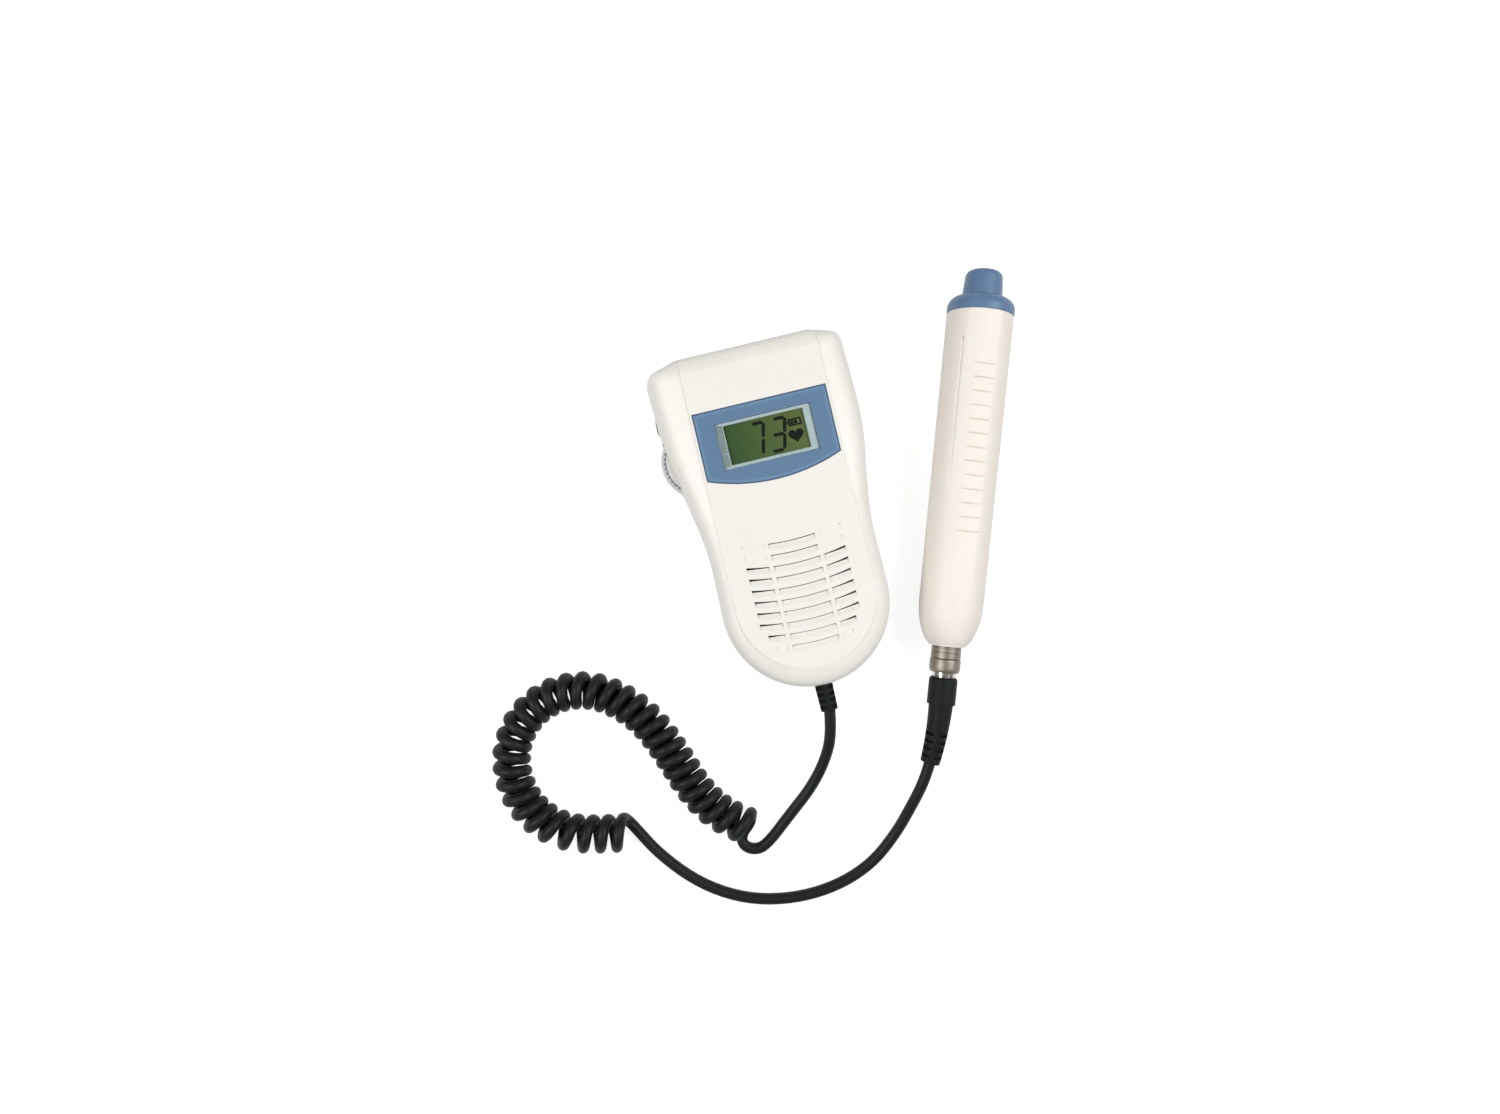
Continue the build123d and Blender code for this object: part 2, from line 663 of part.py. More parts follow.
for name, plate, spring_x, gap in (
    ("battery_contact_low", low_plate, -CELL_X, low_gap),
    ("battery_contact_high", high_plate, CELL_X, high_gap),
):
    with BuildPart() as contact:
        add(block((-CELL_X - CELL_R / 2, CELL_X + CELL_R / 2), plate, plate_z))
        add(cell_bar(spring_x, gap, NUB_R, 8))
    keep(contact, name)

# Case screws
for number, (x, y) in enumerate(both_sides(BOSSES), 1):
    with BuildPart() as screw:
        add(pillar(x, y, (SCREW_SINK, SCREW_SINK + SCREW_HEAD_T), SCREW_HEAD_R, 12))
        add(pillar(x, y, (SCREW_SINK + SCREW_HEAD_T / 2, SCREW_END_Z), SCREW_R, 8))
    keep(screw, f"case_screw_{number}")


# Sleeve that the cord leaves the unit through
def windows(seat, radius):
    """Four boxes round a sleeve, each as deep as a window."""
    out = radius + WINDOW_L / 2 - WINDOW_DEPTH
    box = Box(WINDOW_L, WINDOW_W, WINDOW_L, mode=Mode.PRIVATE)
    return [seat.location * Rot(0, 0, 45 + 90 * quarter) * Pos(out, 0, 0) * box for quarter in range(4)]


flange_y = END_Y - sqrt((END_R - REAR_STEPS[1][2] - WALL) ** 2 - RELIEF_FLANGE_R**2)
with BuildPart() as unit_strain_relief:
    add(relief_bar((flange_y, END_TIP_Y), RELIEF_R, RELIEF_R))
    add(relief_bar((END_TIP_Y, RELIEF_END_Y), RELIEF_R, RELIEF_TIP_R))
    add(relief_bar((flange_y + RELIEF_FLANGE_T, flange_y), RELIEF_FLANGE_R, RELIEF_FLANGE_R))
    for row in range(WINDOW_ROWS):
        y = RELIEF_WINDOW_Y - row * RELIEF_WINDOW_PITCH
        for window in windows(Plane((0, y, RELIEF_Z), x_dir=(1, 0, 0), z_dir=(0, -1, 0)), RELIEF_TIP_R):
            add(window, mode=Mode.SUBTRACT)
keep(unit_strain_relief, "unit_strain_relief")

# Probe and plug share the probe's axis; distances along it start at the body's cable end
turn = radians(PROBE_TURN)
probe_dir = Vector(sin(turn), cos(turn), 0)
probe_start = Vector(*PROBE_END, PROBE_R)
probe_axis = Axis(probe_start, probe_dir)
probe_plane = Plane(probe_start, x_dir=probe_dir, z_dir=(cos(turn), -sin(turn), 0))


def across(distance):
    """Plane across the probe's axis: its X to the left, its Y up, its Z towards the tip."""
    return Plane(probe_start + probe_dir * distance, x_dir=(-cos(turn), sin(turn), 0), z_dir=probe_dir)


def bar(span, radius, sides=0):
    """Round or many-sided bar along the probe's axis."""
    with BuildPart(mode=Mode.PRIVATE) as solid:
        with BuildSketch(across(span[0])):
            if sides:
                RegularPolygon(radius, sides)
            else:
                Circle(radius)
        extrude(amount=span[1] - span[0])
    return solid.part


def slab(span, left, up):
    """Box along the probe's axis, between the values given for left and up."""
    size = [high - low for low, high in (left, up, span)]
    middle = [(low + high) / 2 for low, high in (left, up, span)]
    return across(0).location * Pos(*middle) * Box(*size, mode=Mode.PRIVATE)


def ellipse_steps(start, run, high, low, count):
    """Points (distance, radius) of an elliptical rounding from low at start up to high after run."""
    reach = run / sqrt(1 - (low / high) ** 2)
    points = []
    for step in range(count + 1):
        back = run * (1 - step / count) ** 1.5
        points.append((start + run - back, high * sqrt(1 - (back / reach) ** 2)))
    return points


cavity_r = PROBE_BODY_R - PROBE_WALL
cavity_start = PROBE_ROUND_L - PROBE_WALL
nut_start = PROBE_WALL + COLLAR_STEP
with BuildPart() as probe_body:
    with BuildSketch(probe_plane):
        with BuildLine():
            round_points = ellipse_steps(0, PROBE_ROUND_L, PROBE_BODY_R, PROBE_ROUND_R, ROUND_STEPS)
            Polyline((0, 0), *round_points, (PROBE_BODY_L, PROBE_BODY_R), (PROBE_BODY_L, 0), close=True)
        make_face()
    revolve(axis=probe_axis)
    add(bar((-WALL, nut_start + WALL), SOCKET_R + FIT), mode=Mode.SUBTRACT)
    add(bar((nut_start, cavity_start), SOCKET_NUT_R + FIT, 16), mode=Mode.SUBTRACT)
    add(bar((cavity_start, PROBE_BODY_L + WALL), cavity_r), mode=Mode.SUBTRACT)
    # Grip: a flat along the top with shallow ramps on it, each ending in a small step
    grip_end = GRIP_FIRST + GRIP_RIBS * GRIP_PITCH
    grip_floor = PROBE_BODY_R - GRIP_DEPTH
    side = (-PROBE_R, PROBE_R)
    add(slab((GRIP_FIRST, grip_end), side, (grip_floor, PROBE_R + WALL)), mode=Mode.SUBTRACT)
    with BuildSketch(probe_plane):
        with BuildLine():
            ramps = [(GRIP_FIRST, grip_floor - WALL / 2)]
            for rib in range(GRIP_RIBS):
                ramps.append((GRIP_FIRST + rib * GRIP_PITCH, grip_floor + GRIP_DEPTH))
                ramps.append((GRIP_FIRST + (rib + 1) * GRIP_PITCH, grip_floor))
            ramps.append((grip_end, grip_floor - WALL / 2))
            Polyline(*ramps, close=True)
        make_face()
    extrude(amount=GRIP_HALF, both=True)
    # Fine line beside the grip
    groove = slab(
        (LINE_START - LINE_L, LINE_START), (-LINE_W / 2, LINE_W / 2), (PROBE_BODY_R - LINE_DEPTH, PROBE_R + WALL)
    )
    add(groove.rotate(probe_axis, -LINE_TURN), mode=Mode.SUBTRACT)
keep(probe_body, "probe_body")

def quarter_round(start, high, size):
    """Points (distance, radius) of a quarter round that starts level at high and ends square."""
    turns = [pi / 2 * step / HEAD_ROUND_STEPS for step in range(HEAD_ROUND_STEPS + 1)]
    return [(start + size * sin(angle), high - size + size * cos(angle)) for angle in turns]


spigot_r = cavity_r - SPIGOT_GAP
collar_end = PROBE_BODY_L + COLLAR_L
tip_start = collar_end + COLLAR_ROUND
tip_end = tip_start + TIP_L
with BuildPart() as probe_head:
    with BuildSketch(probe_plane):
        with BuildLine():
            Polyline(
                (PROBE_BODY_L - SPIGOT_L, 0),
                (PROBE_BODY_L - SPIGOT_L, spigot_r),
                (PROBE_BODY_L, spigot_r),
                (PROBE_BODY_L, PROBE_R),
                *quarter_round(collar_end, PROBE_R, COLLAR_ROUND),
                (tip_start, TIP_R),
                *quarter_round(tip_end - TIP_ROUND, TIP_END_R, TIP_ROUND),
                (tip_end, 0),
                close=True,
            )
        make_face()
    revolve(axis=probe_axis)
    add(bar((PROBE_BODY_L - SPIGOT_L - WALL, tip_end), CRYSTAL_ROOM_R, 8), mode=Mode.SUBTRACT)
    add(bar((tip_end - FACE_T, tip_end + WALL), FACE_R + FIT), mode=Mode.SUBTRACT)
keep(probe_head, "probe_head")

with BuildPart() as transducer_face:
    add(bar((tip_end - FACE_T, tip_end), FACE_R))
keep(transducer_face, "transducer_face")

crystal_span = (tip_end - FACE_T - CRYSTAL_T, tip_end - FACE_T)
for name, side in (("crystal_left", 1), ("crystal_right", -1)):
    with BuildPart() as crystal:
        left = sorted((side * CRYSTAL_GAP / 2, side * (CRYSTAL_GAP / 2 + CRYSTAL_W)))
        add(slab(crystal_span, left, (-CRYSTAL_W, CRYSTAL_W)))
    keep(crystal, name)

board_half = sqrt(cavity_r**2 - (BOARD_T / 2) ** 2) - FIT
with BuildPart() as probe_board:
    board_span = (PROBE_BOARD_START, PROBE_BODY_L - SPIGOT_L)
    add(slab(board_span, (-board_half, board_half), (-BOARD_T / 2, BOARD_T / 2)))
keep(probe_board, "probe_board")

# Socket in the probe's cable end
nose_end = NOSE_L - SOCKET_OUT
insert_start = nose_end + SLEEVE_GAP
socket_end = nut_start + SOCKET_NUT_T + 2 * WALL
with BuildPart() as probe_socket:
    add(bar((-SOCKET_OUT, socket_end), SOCKET_R))
    add(bar((-SOCKET_OUT - WALL, socket_end + WALL), SOCKET_BORE_R), mode=Mode.SUBTRACT)
keep(probe_socket, "probe_socket")

with BuildPart() as socket_nut:
    add(bar((nut_start, nut_start + SOCKET_NUT_T), SOCKET_NUT_R, 6))
    add(bar((0, nut_start + 2 * SOCKET_NUT_T), SOCKET_R), mode=Mode.SUBTRACT)
keep(socket_nut, "socket_nut")

pins = [(x, y) for x in (-PIN_OFFSET, PIN_OFFSET) for y in (-PIN_OFFSET, PIN_OFFSET)]
with BuildPart() as socket_insert:
    add(bar((insert_start, socket_end), SOCKET_BORE_R, 12))
    for x, y in pins:
        half = 2 * PIN_HALF
        add(slab((0, insert_start + PIN_L), (x - half, x + half), (y - half, y + half)), mode=Mode.SUBTRACT)
keep(socket_insert, "socket_insert")

# Plug: metal barrel, its insert with pins, release sleeve, boot and bending sleeve
sleeve_end = -SOCKET_OUT - SLEEVE_L
boot_start = sleeve_end - NECK_L
boot_end = boot_start - BOOT_L
with BuildPart() as plug_barrel:
    add(bar((boot_start, -SOCKET_OUT - SLEEVE_GAP), NECK_R))
    add(bar((boot_start, nose_end), NOSE_R, 16))
    add(bar((sleeve_end, nose_end + WALL), NOSE_BORE_R, 12), mode=Mode.SUBTRACT)
keep(plug_barrel, "plug_barrel")

with BuildPart() as plug_insert:
    add(bar((sleeve_end, nose_end - WALL), NOSE_BORE_R, 12))
    for x, y in pins:
        span = (nose_end - 2 * WALL, insert_start + PIN_L - WALL)
        add(slab(span, (x - PIN_HALF, x + PIN_HALF), (y - PIN_HALF, y + PIN_HALF)))
keep(plug_insert, "plug_insert")

with BuildPart() as release_sleeve:
    add(bar((sleeve_end, -SOCKET_OUT - SLEEVE_GAP), SLEEVE_R, 32))
    add(bar((sleeve_end - WALL, 0), NECK_R + RUNNING), mode=Mode.SUBTRACT)
keep(release_sleeve, "release_sleeve")

with BuildPart() as plug_boot:
    add(bar((boot_end, boot_start), BOOT_R, 24))
keep(plug_boot, "plug_boot")

plug_dir = -probe_dir
relief_start = probe_start + probe_dir * boot_end
level = Vector(0, 0, 1)


def bent(share):
    """Direction of the bending sleeve at a share of its length."""
    aside = plug_dir.rotate(Axis.Z, -2 * PLUG_RELIEF_TURN * share)
    return (aside - level * tan(radians(2 * PLUG_RELIEF_DIP * share))).normalized()


relief_middle = relief_start + bent(0.25) * (PLUG_RELIEF_L / 2)
relief_end = relief_middle + bent(0.75) * (PLUG_RELIEF_L / 2)
with BuildPart() as plug_relief:
    for place, share in ((relief_start, 0.0), (relief_middle, 0.5), (relief_end, 1.0)):
        radius = PLUG_RELIEF_R + (PLUG_RELIEF_TIP_R - PLUG_RELIEF_R) * share
        with BuildSketch(Plane(place, x_dir=bent(share).cross(level), z_dir=bent(share))):
            RegularPolygon(radius, PLUG_RELIEF_SIDES)
    loft(ruled=True)
    for row in range(WINDOW_ROWS):
        place = relief_middle + bent(0.75) * (row * PLUG_WINDOW_PITCH)
        for window in windows(Plane(place, x_dir=bent(0.75).cross(level), z_dir=bent(0.75)), PLUG_RELIEF_TIP_R):
            add(window, mode=Mode.SUBTRACT)
keep(plug_relief, "plug_relief")


# Curly part of the cord
def walk():
    """Pieces of the coil's route, each as room before it, start, heading, curve, rate and length.

    Room is length measured along the inside of the bends, where the curls lie closest.
    """
    pieces = []
    point = Vector(*COIL_START)
    heading = radians(COIL_HEADING)
    room = 0.0
    for length, bend in COIL_ROUTE:
        curve = radians(bend) / length
        rate = 1 - coil_r * abs(curve)
        pieces.append((room, point, heading, curve, rate, length))
        point = point + arc_step(heading, curve, length)
        heading += curve * length
        room += rate * length
    return pieces, room


def arc_step(heading, curve, length):
    """Step along a level arc."""
    end = heading + curve * length
    return Vector((sin(end) - sin(heading)) / curve, (cos(heading) - cos(end)) / curve)


def axis_at(share):
    """Point and heading of the coil's axis at a share of its room."""
    wanted = share * coil_room
    room, point, heading, curve, rate, length = [piece for piece in coil_pieces if piece[0] <= wanted][-1]
    along = (wanted - room) / rate
    return point + arc_step(heading, curve, along), heading + curve * along


def curl_point(turns):
    """Point of the wire's middle after a number of curls."""
    point, heading = axis_at(turns / COIL_CURLS)
    angle = radians(270) + 2 * pi * turns
    right = Vector(sin(heading), -cos(heading))
    return point + right * (coil_r * cos(angle)) + Vector(0, 0, CORD_Z + coil_r * (1 + sin(angle)))


def heading_dir(degrees_from_x):
    """Level direction of a heading."""
    return Vector(cos(radians(degrees_from_x)), sin(radians(degrees_from_x)))


coil_r = (COIL_OD - CORD_D) / 2
coil_pieces, coil_room = walk()
curl_points = [curl_point(step / COIL_STEPS) for step in range(round(COIL_CURLS * COIL_STEPS) + 1)]
first_step = curl_points[1] - curl_points[0]
bottom_heading = Vector(first_step.X, first_step.Y).get_signed_angle(Vector(1, 0, 0), Vector(0, 0, -1))
in_dir = heading_dir(COIL_IN_HEADING)
in_side = Vector(in_dir.Y, -in_dir.X)
out_dir = heading_dir(COIL_OUT_HEADING)
in_arc = []
for step in range(COIL_IN_STEPS):
    angle = (COIL_IN_HEADING - bottom_heading) * step / COIL_IN_STEPS
    swept = heading_dir(COIL_IN_HEADING - angle)
    in_arc.append(in_side * COIL_IN_R + Vector(-swept.Y, swept.X) * COIL_IN_R)
arc_end = in_side * COIL_IN_R + Vector(-sin(radians(bottom_heading)), cos(radians(bottom_heading))) * COIL_IN_R
arc_start = curl_points[0] - arc_end
in_points = [arc_start - in_dir * CORD_D] + [arc_start + step for step in in_arc]
out_centre = curl_points[-1] + out_dir * coil_r
out_points = []
for step in range(1, COIL_OUT_STEPS + 1):
    angle = radians(90 * step / COIL_OUT_STEPS)
    out_points.append(out_centre - out_dir * (coil_r * cos(angle)) - level * (coil_r * sin(angle)))
out_points.append(out_points[-1] + out_dir * CORD_D)
coil_path = in_points + curl_points + out_points
with BuildPart() as cord_coil:
    with BuildLine() as coil_line:
        Polyline(*coil_path)
    with BuildSketch(Plane(coil_line.line @ 0, z_dir=coil_line.line % 0)) as coil_section:
        RegularPolygon(CORD_D / 2, COIL_SIDES, rotation=180 / COIL_SIDES)
    sweep(transition=Transition.RIGHT)
keep(cord_coil, "cord_coil")


# Straight-lying stretches of the cord
def stretch(points):
    """Tube through the points, its corners rounded as widely as the runs allow."""
    runs = [(b - a) for a, b in zip(points, points[1:])]
    radii = []
    for before, after in zip(runs, runs[1:]):
        half_turn = radians(before.get_angle(after)) / 2
        radii.append(RUN_SHARE * min(before.length, after.length) / tan(half_turn))
    with BuildPart() as tube:
        with BuildLine() as route:
            FilletPolyline(*points, radius=radii)
        with BuildSketch(Plane(points[0], z_dir=runs[0])) as section:
            RegularPolygon(CORD_D / 2, CORD_SIDES, rotation=180 / CORD_SIDES)
        sweep()
    return tube, radii, route.line, section.sketch.area


coil_entry = coil_path[0] - in_dir * COIL_RUN_L
unit_points = [Vector(*point) for point in UNIT_RUN] + [coil_entry, coil_path[0]]
coil_exit = coil_path[-1] + out_dir * COIL_RUN_L
relief_run = relief_end + bent(1.0) * RELIEF_RUN_L
probe_points = [coil_path[-1], coil_exit] + [Vector(*point) for point in PROBE_RUN] + [relief_run, relief_end]
for name, points in (("cord_unit_side", unit_points), ("cord_probe_side", probe_points)):
    tube, radii, route, area = stretch(points)
    keep(tube, name)
    print(name, "radii", [round(radius, 1) for radius in radii])
    length = sum(edge.length for edge in route.edges())
    print(name, "length", round(length, 1), "volume", round(tube.part.volume), "expected", round(area * length))

coil_length = sum((b - a).length for a, b in zip(coil_path, coil_path[1:]))
clearance = min(
    (a - b).length
    for i, a in enumerate(coil_path)
    for b in coil_path[i + COIL_STEPS // 2 : i + 3 * COIL_STEPS]
    if (a - b).length < CORD_D * 2
)
print("cord_coil length", round(coil_length, 1), "gap to itself", round(clearance - CORD_D, 2))
print("cord_coil volume", round(cord_coil.part.volume), "expected", round(coil_length * coil_section.sketch.area))
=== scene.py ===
"""Dresses a hand-held vascular doppler: display unit, curly cord and pencil probe.

Pieces are built in millimetres on the CAD part's frame. Each replaces the CAD nodes that it names, and the
nodes that nothing replaces only get their finish.
"""

import json
import logging
from dataclasses import dataclass
from enum import Enum
from math import cos, pi, radians, sin, sqrt
from typing import Iterable, Optional, Protocol, Sequence, Union

import bmesh
import bpy
from mathutils import Matrix, Vector

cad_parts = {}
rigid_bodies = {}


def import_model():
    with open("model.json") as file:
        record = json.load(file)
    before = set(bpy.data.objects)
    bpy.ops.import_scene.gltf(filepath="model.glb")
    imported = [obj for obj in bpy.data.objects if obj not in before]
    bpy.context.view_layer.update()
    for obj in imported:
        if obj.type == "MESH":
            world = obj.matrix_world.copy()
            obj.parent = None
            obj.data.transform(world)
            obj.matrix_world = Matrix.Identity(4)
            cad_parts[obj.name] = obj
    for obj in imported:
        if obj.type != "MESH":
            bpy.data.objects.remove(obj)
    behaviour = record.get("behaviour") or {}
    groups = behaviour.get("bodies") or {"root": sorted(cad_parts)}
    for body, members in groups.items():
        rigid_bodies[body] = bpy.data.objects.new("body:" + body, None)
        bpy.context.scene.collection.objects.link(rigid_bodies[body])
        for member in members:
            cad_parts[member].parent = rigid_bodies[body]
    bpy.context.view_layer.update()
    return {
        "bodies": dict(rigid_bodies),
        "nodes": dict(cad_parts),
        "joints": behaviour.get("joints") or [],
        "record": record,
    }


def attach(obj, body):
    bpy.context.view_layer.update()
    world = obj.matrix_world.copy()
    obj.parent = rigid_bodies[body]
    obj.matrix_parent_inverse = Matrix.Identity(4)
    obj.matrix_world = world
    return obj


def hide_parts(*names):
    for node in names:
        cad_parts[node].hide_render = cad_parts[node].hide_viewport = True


log = logging.getLogger("doppler")

Point = tuple[float, float]
Place = tuple[float, float, float]
# A round bar's low end, high end, radius and corners
Bar = tuple[float, float, float, int]
Object = bpy.types.Object

# Metres in a millimetre: pieces are built in millimetres and stand in metres
MM = 0.001
# Millimetres within which two corners are one
MERGE = 0.0005
SEGMENTS = 96
SMOOTH_ANGLE = radians(32)
# How much coarser the clouds of a finish's colour are than its grain
CLOUD_TIMES = 22.0
WHITE = (1.0, 1.0, 1.0, 1.0)
# Places of the case screws on the rear face
SCREWS: tuple[Point, ...] = ((19.0, -44.5), (-19.0, -44.5), (28.5, 53.5), (-28.5, 53.5))


class Body(Enum):
    """Rigid bodies of the frame that a piece can ride on."""

    UNIT = "main_unit"
    DIAL = "dial"
    DOOR = "door"
    SLEEVE = "sleeve"
    PROBE = "probe"


class Pattern(Enum):
    """Ways that a finish varies over its surface."""

    SPECKLE = "speckle"
    TURNED = "turned"


# Materials


class Surface(Protocol):
    """Anything that makes a material."""

    def make(self) -> bpy.types.Material:
        """Builds the material."""


def linear(code: str) -> tuple[float, float, float, float]:
    """Turns an sRGB hex value into a linear colour.

    Args:
        code: six hex digits.

    Returns:
        Red, green, blue and full opacity.
    """
    parts = [int(code[i : i + 2], 16) / 255 for i in (0, 2, 4)]
    red, green, blue = (c / 12.92 if c <= 0.04045 else ((c + 0.055) / 1.055) ** 2.4 for c in parts)
    return red, green, blue, 1.0


def add_node(
    tree: bpy.types.NodeTree,
    kind: str,
    settings: Optional[dict[str, object]] = None,
    values: Optional[dict[object, object]] = None,
    links: Optional[dict[object, bpy.types.NodeSocket]] = None,
) -> bpy.types.Node:
    """Adds one node.

    Args:
        tree: the material's or world's tree.
        kind: the node's type name after ShaderNode.
        settings: the node's own properties.
        values: input names or numbers with their values.
        links: input names or numbers with the sockets that feed them.

    Returns:
        The new node.
    """
    node = tree.nodes.new(f"ShaderNode{kind}")
    for name, value in (settings or {}).items():
        setattr(node, name, value)
    for name, value in (values or {}).items():
        node.inputs[name].default_value = value
    for name, socket in (links or {}).items():
        tree.links.new(socket, node.inputs[name])
    return node


def new_tree(name: str) -> tuple[bpy.types.Material, bpy.types.NodeTree]:
    """Starts an empty node material.

    Args:
        name: the material's name.

    Returns:
        The material and its tree.
    """
    material = bpy.data.materials.new(name)
    material.use_nodes = True
    material.node_tree.nodes.clear()
    return material, material.node_tree


@dataclass(frozen=True)
class Finish:
    """A plastic, rubber or metal surface with grain in its colour, gloss and relief."""

    name: str
    shade: str
    deep: str
    roughness: float
    grain_mm: float
    relief_mm: float
    metallic: float = 0.0
    specular: float = 0.5
    coat: float = 0.0
    subsurface: float = 0.0
    gloss_spread: float = 0.06
    pattern: Pattern = Pattern.SPECKLE
    axis: Place = (0.0, 0.0, 1.0)

    def make(self) -> bpy.types.Material:
        """Builds the material, once.

        Returns:
            The material.
        """
        if self.name in bpy.data.materials:
            return bpy.data.materials[self.name]
        material, tree = new_tree(self.name)
        place = add_node(tree, "TexCoord").outputs["Object"]
        fine = self.grain(tree, place, 1.0, 3.0)
        broad = self.grain(tree, place, CLOUD_TIMES, 2.0)
        shades = {6: linear(self.shade), 7: linear(self.deep)}
        tint = add_node(tree, "Mix", {"data_type": "RGBA"}, shades, {0: broad})
        spread = {3: self.roughness - self.gloss_spread, 4: self.roughness + self.gloss_spread}
        gloss = add_node(tree, "MapRange", values=spread, links={0: fine})
        relief = {"Strength": 1.0, "Distance": self.relief_mm * MM}
        bump = add_node(tree, "Bump", values=relief, links={"Height": fine})
        values = {
            "Metallic": self.metallic,
            "Specular IOR Level": self.specular,
            "Coat Weight": self.coat,
            "Coat Roughness": 0.12,
            "Subsurface Weight": self.subsurface,
            "Subsurface Scale": 2 * MM,
        }
        links = {"Base Color": tint.outputs[2], "Roughness": gloss.outputs[0], "Normal": bump.outputs[0]}
        shader = add_node(tree, "BsdfPrincipled", values=values, links=links)
        add_node(tree, "OutputMaterial", links={0: shader.outputs[0]})
        return material

    def grain(
        self, tree: bpy.types.NodeTree, place: bpy.types.NodeSocket, times: float, detail: float
    ) -> bpy.types.NodeSocket:
        """Adds the grain at a multiple of its real size.

        Args:
            tree: the material's tree.
            place: the coordinates.
            times: multiple of the grain's size.
            detail: the noise's detail.

        Returns:
            The noise's strength socket.
        """
        if self.pattern is Pattern.TURNED:
            ring = add_node(tree, "VectorMath", {"operation": "DOT_PRODUCT"}, {1: self.axis}, {0: place})
            place = add_node(tree, "CombineXYZ", links={0: ring.outputs["Value"]}).outputs[0]
        values = {"Scale": 1.0 / (self.grain_mm * times * MM), "Detail": detail, "Roughness": 0.55}
        return add_node(tree, "TexNoise", values=values, links={"Vector": place}).outputs[0]


@dataclass(frozen=True)
class GlassFinish:
    """Thin clear window, mostly see-through with a hard gloss."""

    name: str = "clear acrylic window"
    shade: str = "F4F8F6"
    ior: float = 1.3
    roughness: float = 0.04

    def make(self) -> bpy.types.Material:
        """Builds the material.

        Returns:
            The material.
        """
        material, tree = new_tree(self.name)
        place = add_node(tree, "TexCoord").outputs["Object"]
        smear = add_node(tree, "TexNoise", values={"Scale": 160.0, "Detail": 3.0}, links={0: place})
        spread = {3: self.roughness, 4: self.roughness + 0.05}
        gloss = add_node(tree, "MapRange", values=spread, links={0: smear.outputs[0]})
        clear = add_node(tree, "BsdfTransparent", values={0: linear(self.shade)})
        sheen = add_node(tree, "BsdfGlossy", values={0: WHITE}, links={1: gloss.outputs[0]})
        edge = add_node(tree, "Fresnel", values={0: self.ior})
        links = {0: edge.outputs[0], 1: clear.outputs[0], 2: sheen.outputs[0]}
        mix = add_node(tree, "MixShader", links=links)
        add_node(tree, "OutputMaterial", links={0: mix.outputs[0]})
        return material


@dataclass(frozen=True)
class ScreenFinish:
    """Reflective liquid-crystal glass: olive green with faint clouds and pixels, and painted shade that makes it
    darker to the left.
    """

    name: str = "olive liquid crystal"
    # Colours from left to right across the window; the darker green to the left is painted shade
    left: str = "3A5A2C"
    middle: str = "5B703B"
    right: str = "717A43"
    start_mm: float = -15.0
    end_mm: float = 15.0
    clouds: float = 0.18

    def make(self) -> bpy.types.Material:
        """Builds the material.

        Returns:
            The material.
        """
        material, tree = new_tree(self.name)
        place = add_node(tree, "TexCoord").outputs["Object"]
        split = add_node(tree, "SeparateXYZ", links={0: place})
        reach = {1: self.start_mm * MM, 2: self.end_mm * MM}
        across = add_node(tree, "MapRange", values=reach, links={0: split.outputs[0]})
        cloud = add_node(tree, "TexNoise", values={"Scale": 45.0, "Detail": 2.0}, links={0: place})
        links = {0: cloud.outputs[0], 2: across.outputs[0]}
        blend = add_node(tree, "Math", {"operation": "MULTIPLY_ADD"}, {1: self.clouds}, links)
        # The ramp carries the painted shade from the dark left end to the lighter right end
        ramp = add_node(tree, "ValToRGB", links={0: blend.outputs[0]})
        ramp.color_ramp.elements[0].color = linear(self.left)
        ramp.color_ramp.elements[0].position = 0.08
        ramp.color_ramp.elements[1].color = linear(self.right)
        ramp.color_ramp.elements[1].position = 1.0
        ramp.color_ramp.elements.new(0.55).color = linear(self.middle)
        pixel = add_node(tree, "TexNoise", values={"Scale": 4200.0, "Detail": 1.0}, links={0: place})
        relief = {"Strength": 0.4, "Distance": 0.02 * MM}
        bump = add_node(tree, "Bump", values=relief, links={"Height": pixel.outputs[0]})
        values = {"Roughness": 0.32, "Specular IOR Level": 0.35}
        links = {"Base Color": ramp.outputs[0], "Normal": bump.outputs[0]}
        shader = add_node(tree, "BsdfPrincipled", values=values, links=links)
        add_node(tree, "OutputMaterial", links={0: shader.outputs[0]})
        return material


# Turn of the probe on the table, from the unit's length
TURN = radians(19.2)
PROBE_WAY = (sin(TURN), cos(TURN), 0.0)

# Moulded ABS, spark-eroded: soft satin with a grain too fine to see but for its gloss
ABS_WHITE = Finish("moulded white ABS", "F0EDE6", "EAE7E0", 0.42, 0.5, 0.012, subsurface=0.05)
ABS_PROBE = Finish("smooth white ABS", "F3ECE3", "EDE6DD", 0.52, 0.6, 0.008, specular=0.35, subsurface=0.05)
# Polycarbonate film, printed on its back: even colour under a fine matt face
FILM_BLUE = Finish("printed blue film", "5F7F9E", "5A7998", 0.36, 0.35, 0.006, coat=0.1)
# Dark line of painted shadow in the gap round the label, and pale band of painted highlight on its bevel
PAINTED_EDGE_SHADOW = Finish("painted shadow at the label's edge", "4B6080", "475B79", 0.4, 0.35, 0.006)
PAINTED_BEVEL_HIGHLIGHT = Finish("painted highlight on the label's bevel", "688AAA", "6384A4", 0.36, 0.35, 0.006, coat=0.1)
FILM_SILVER = Finish("printed silver border", "C9D3D8", "C2CCD2", 0.45, 0.4, 0.006)
# Liquid crystal that is switched on: near black, without gloss
SEGMENT_INK = Finish("dark liquid crystal", "0E140A", "12190E", 0.5, 0.4, 0.002, specular=0.1)
# Moulded nylon, pigmented: deeper blue with a soft highlight
NYLON_BLUE = Finish("moulded blue nylon", "5E7C9E", "587698", 0.45, 0.5, 0.012, coat=0.08)
LENS_BLUE = Finish("cast blue resin", "6888B2", "6283AD", 0.3, 0.6, 0.006, coat=0.2)
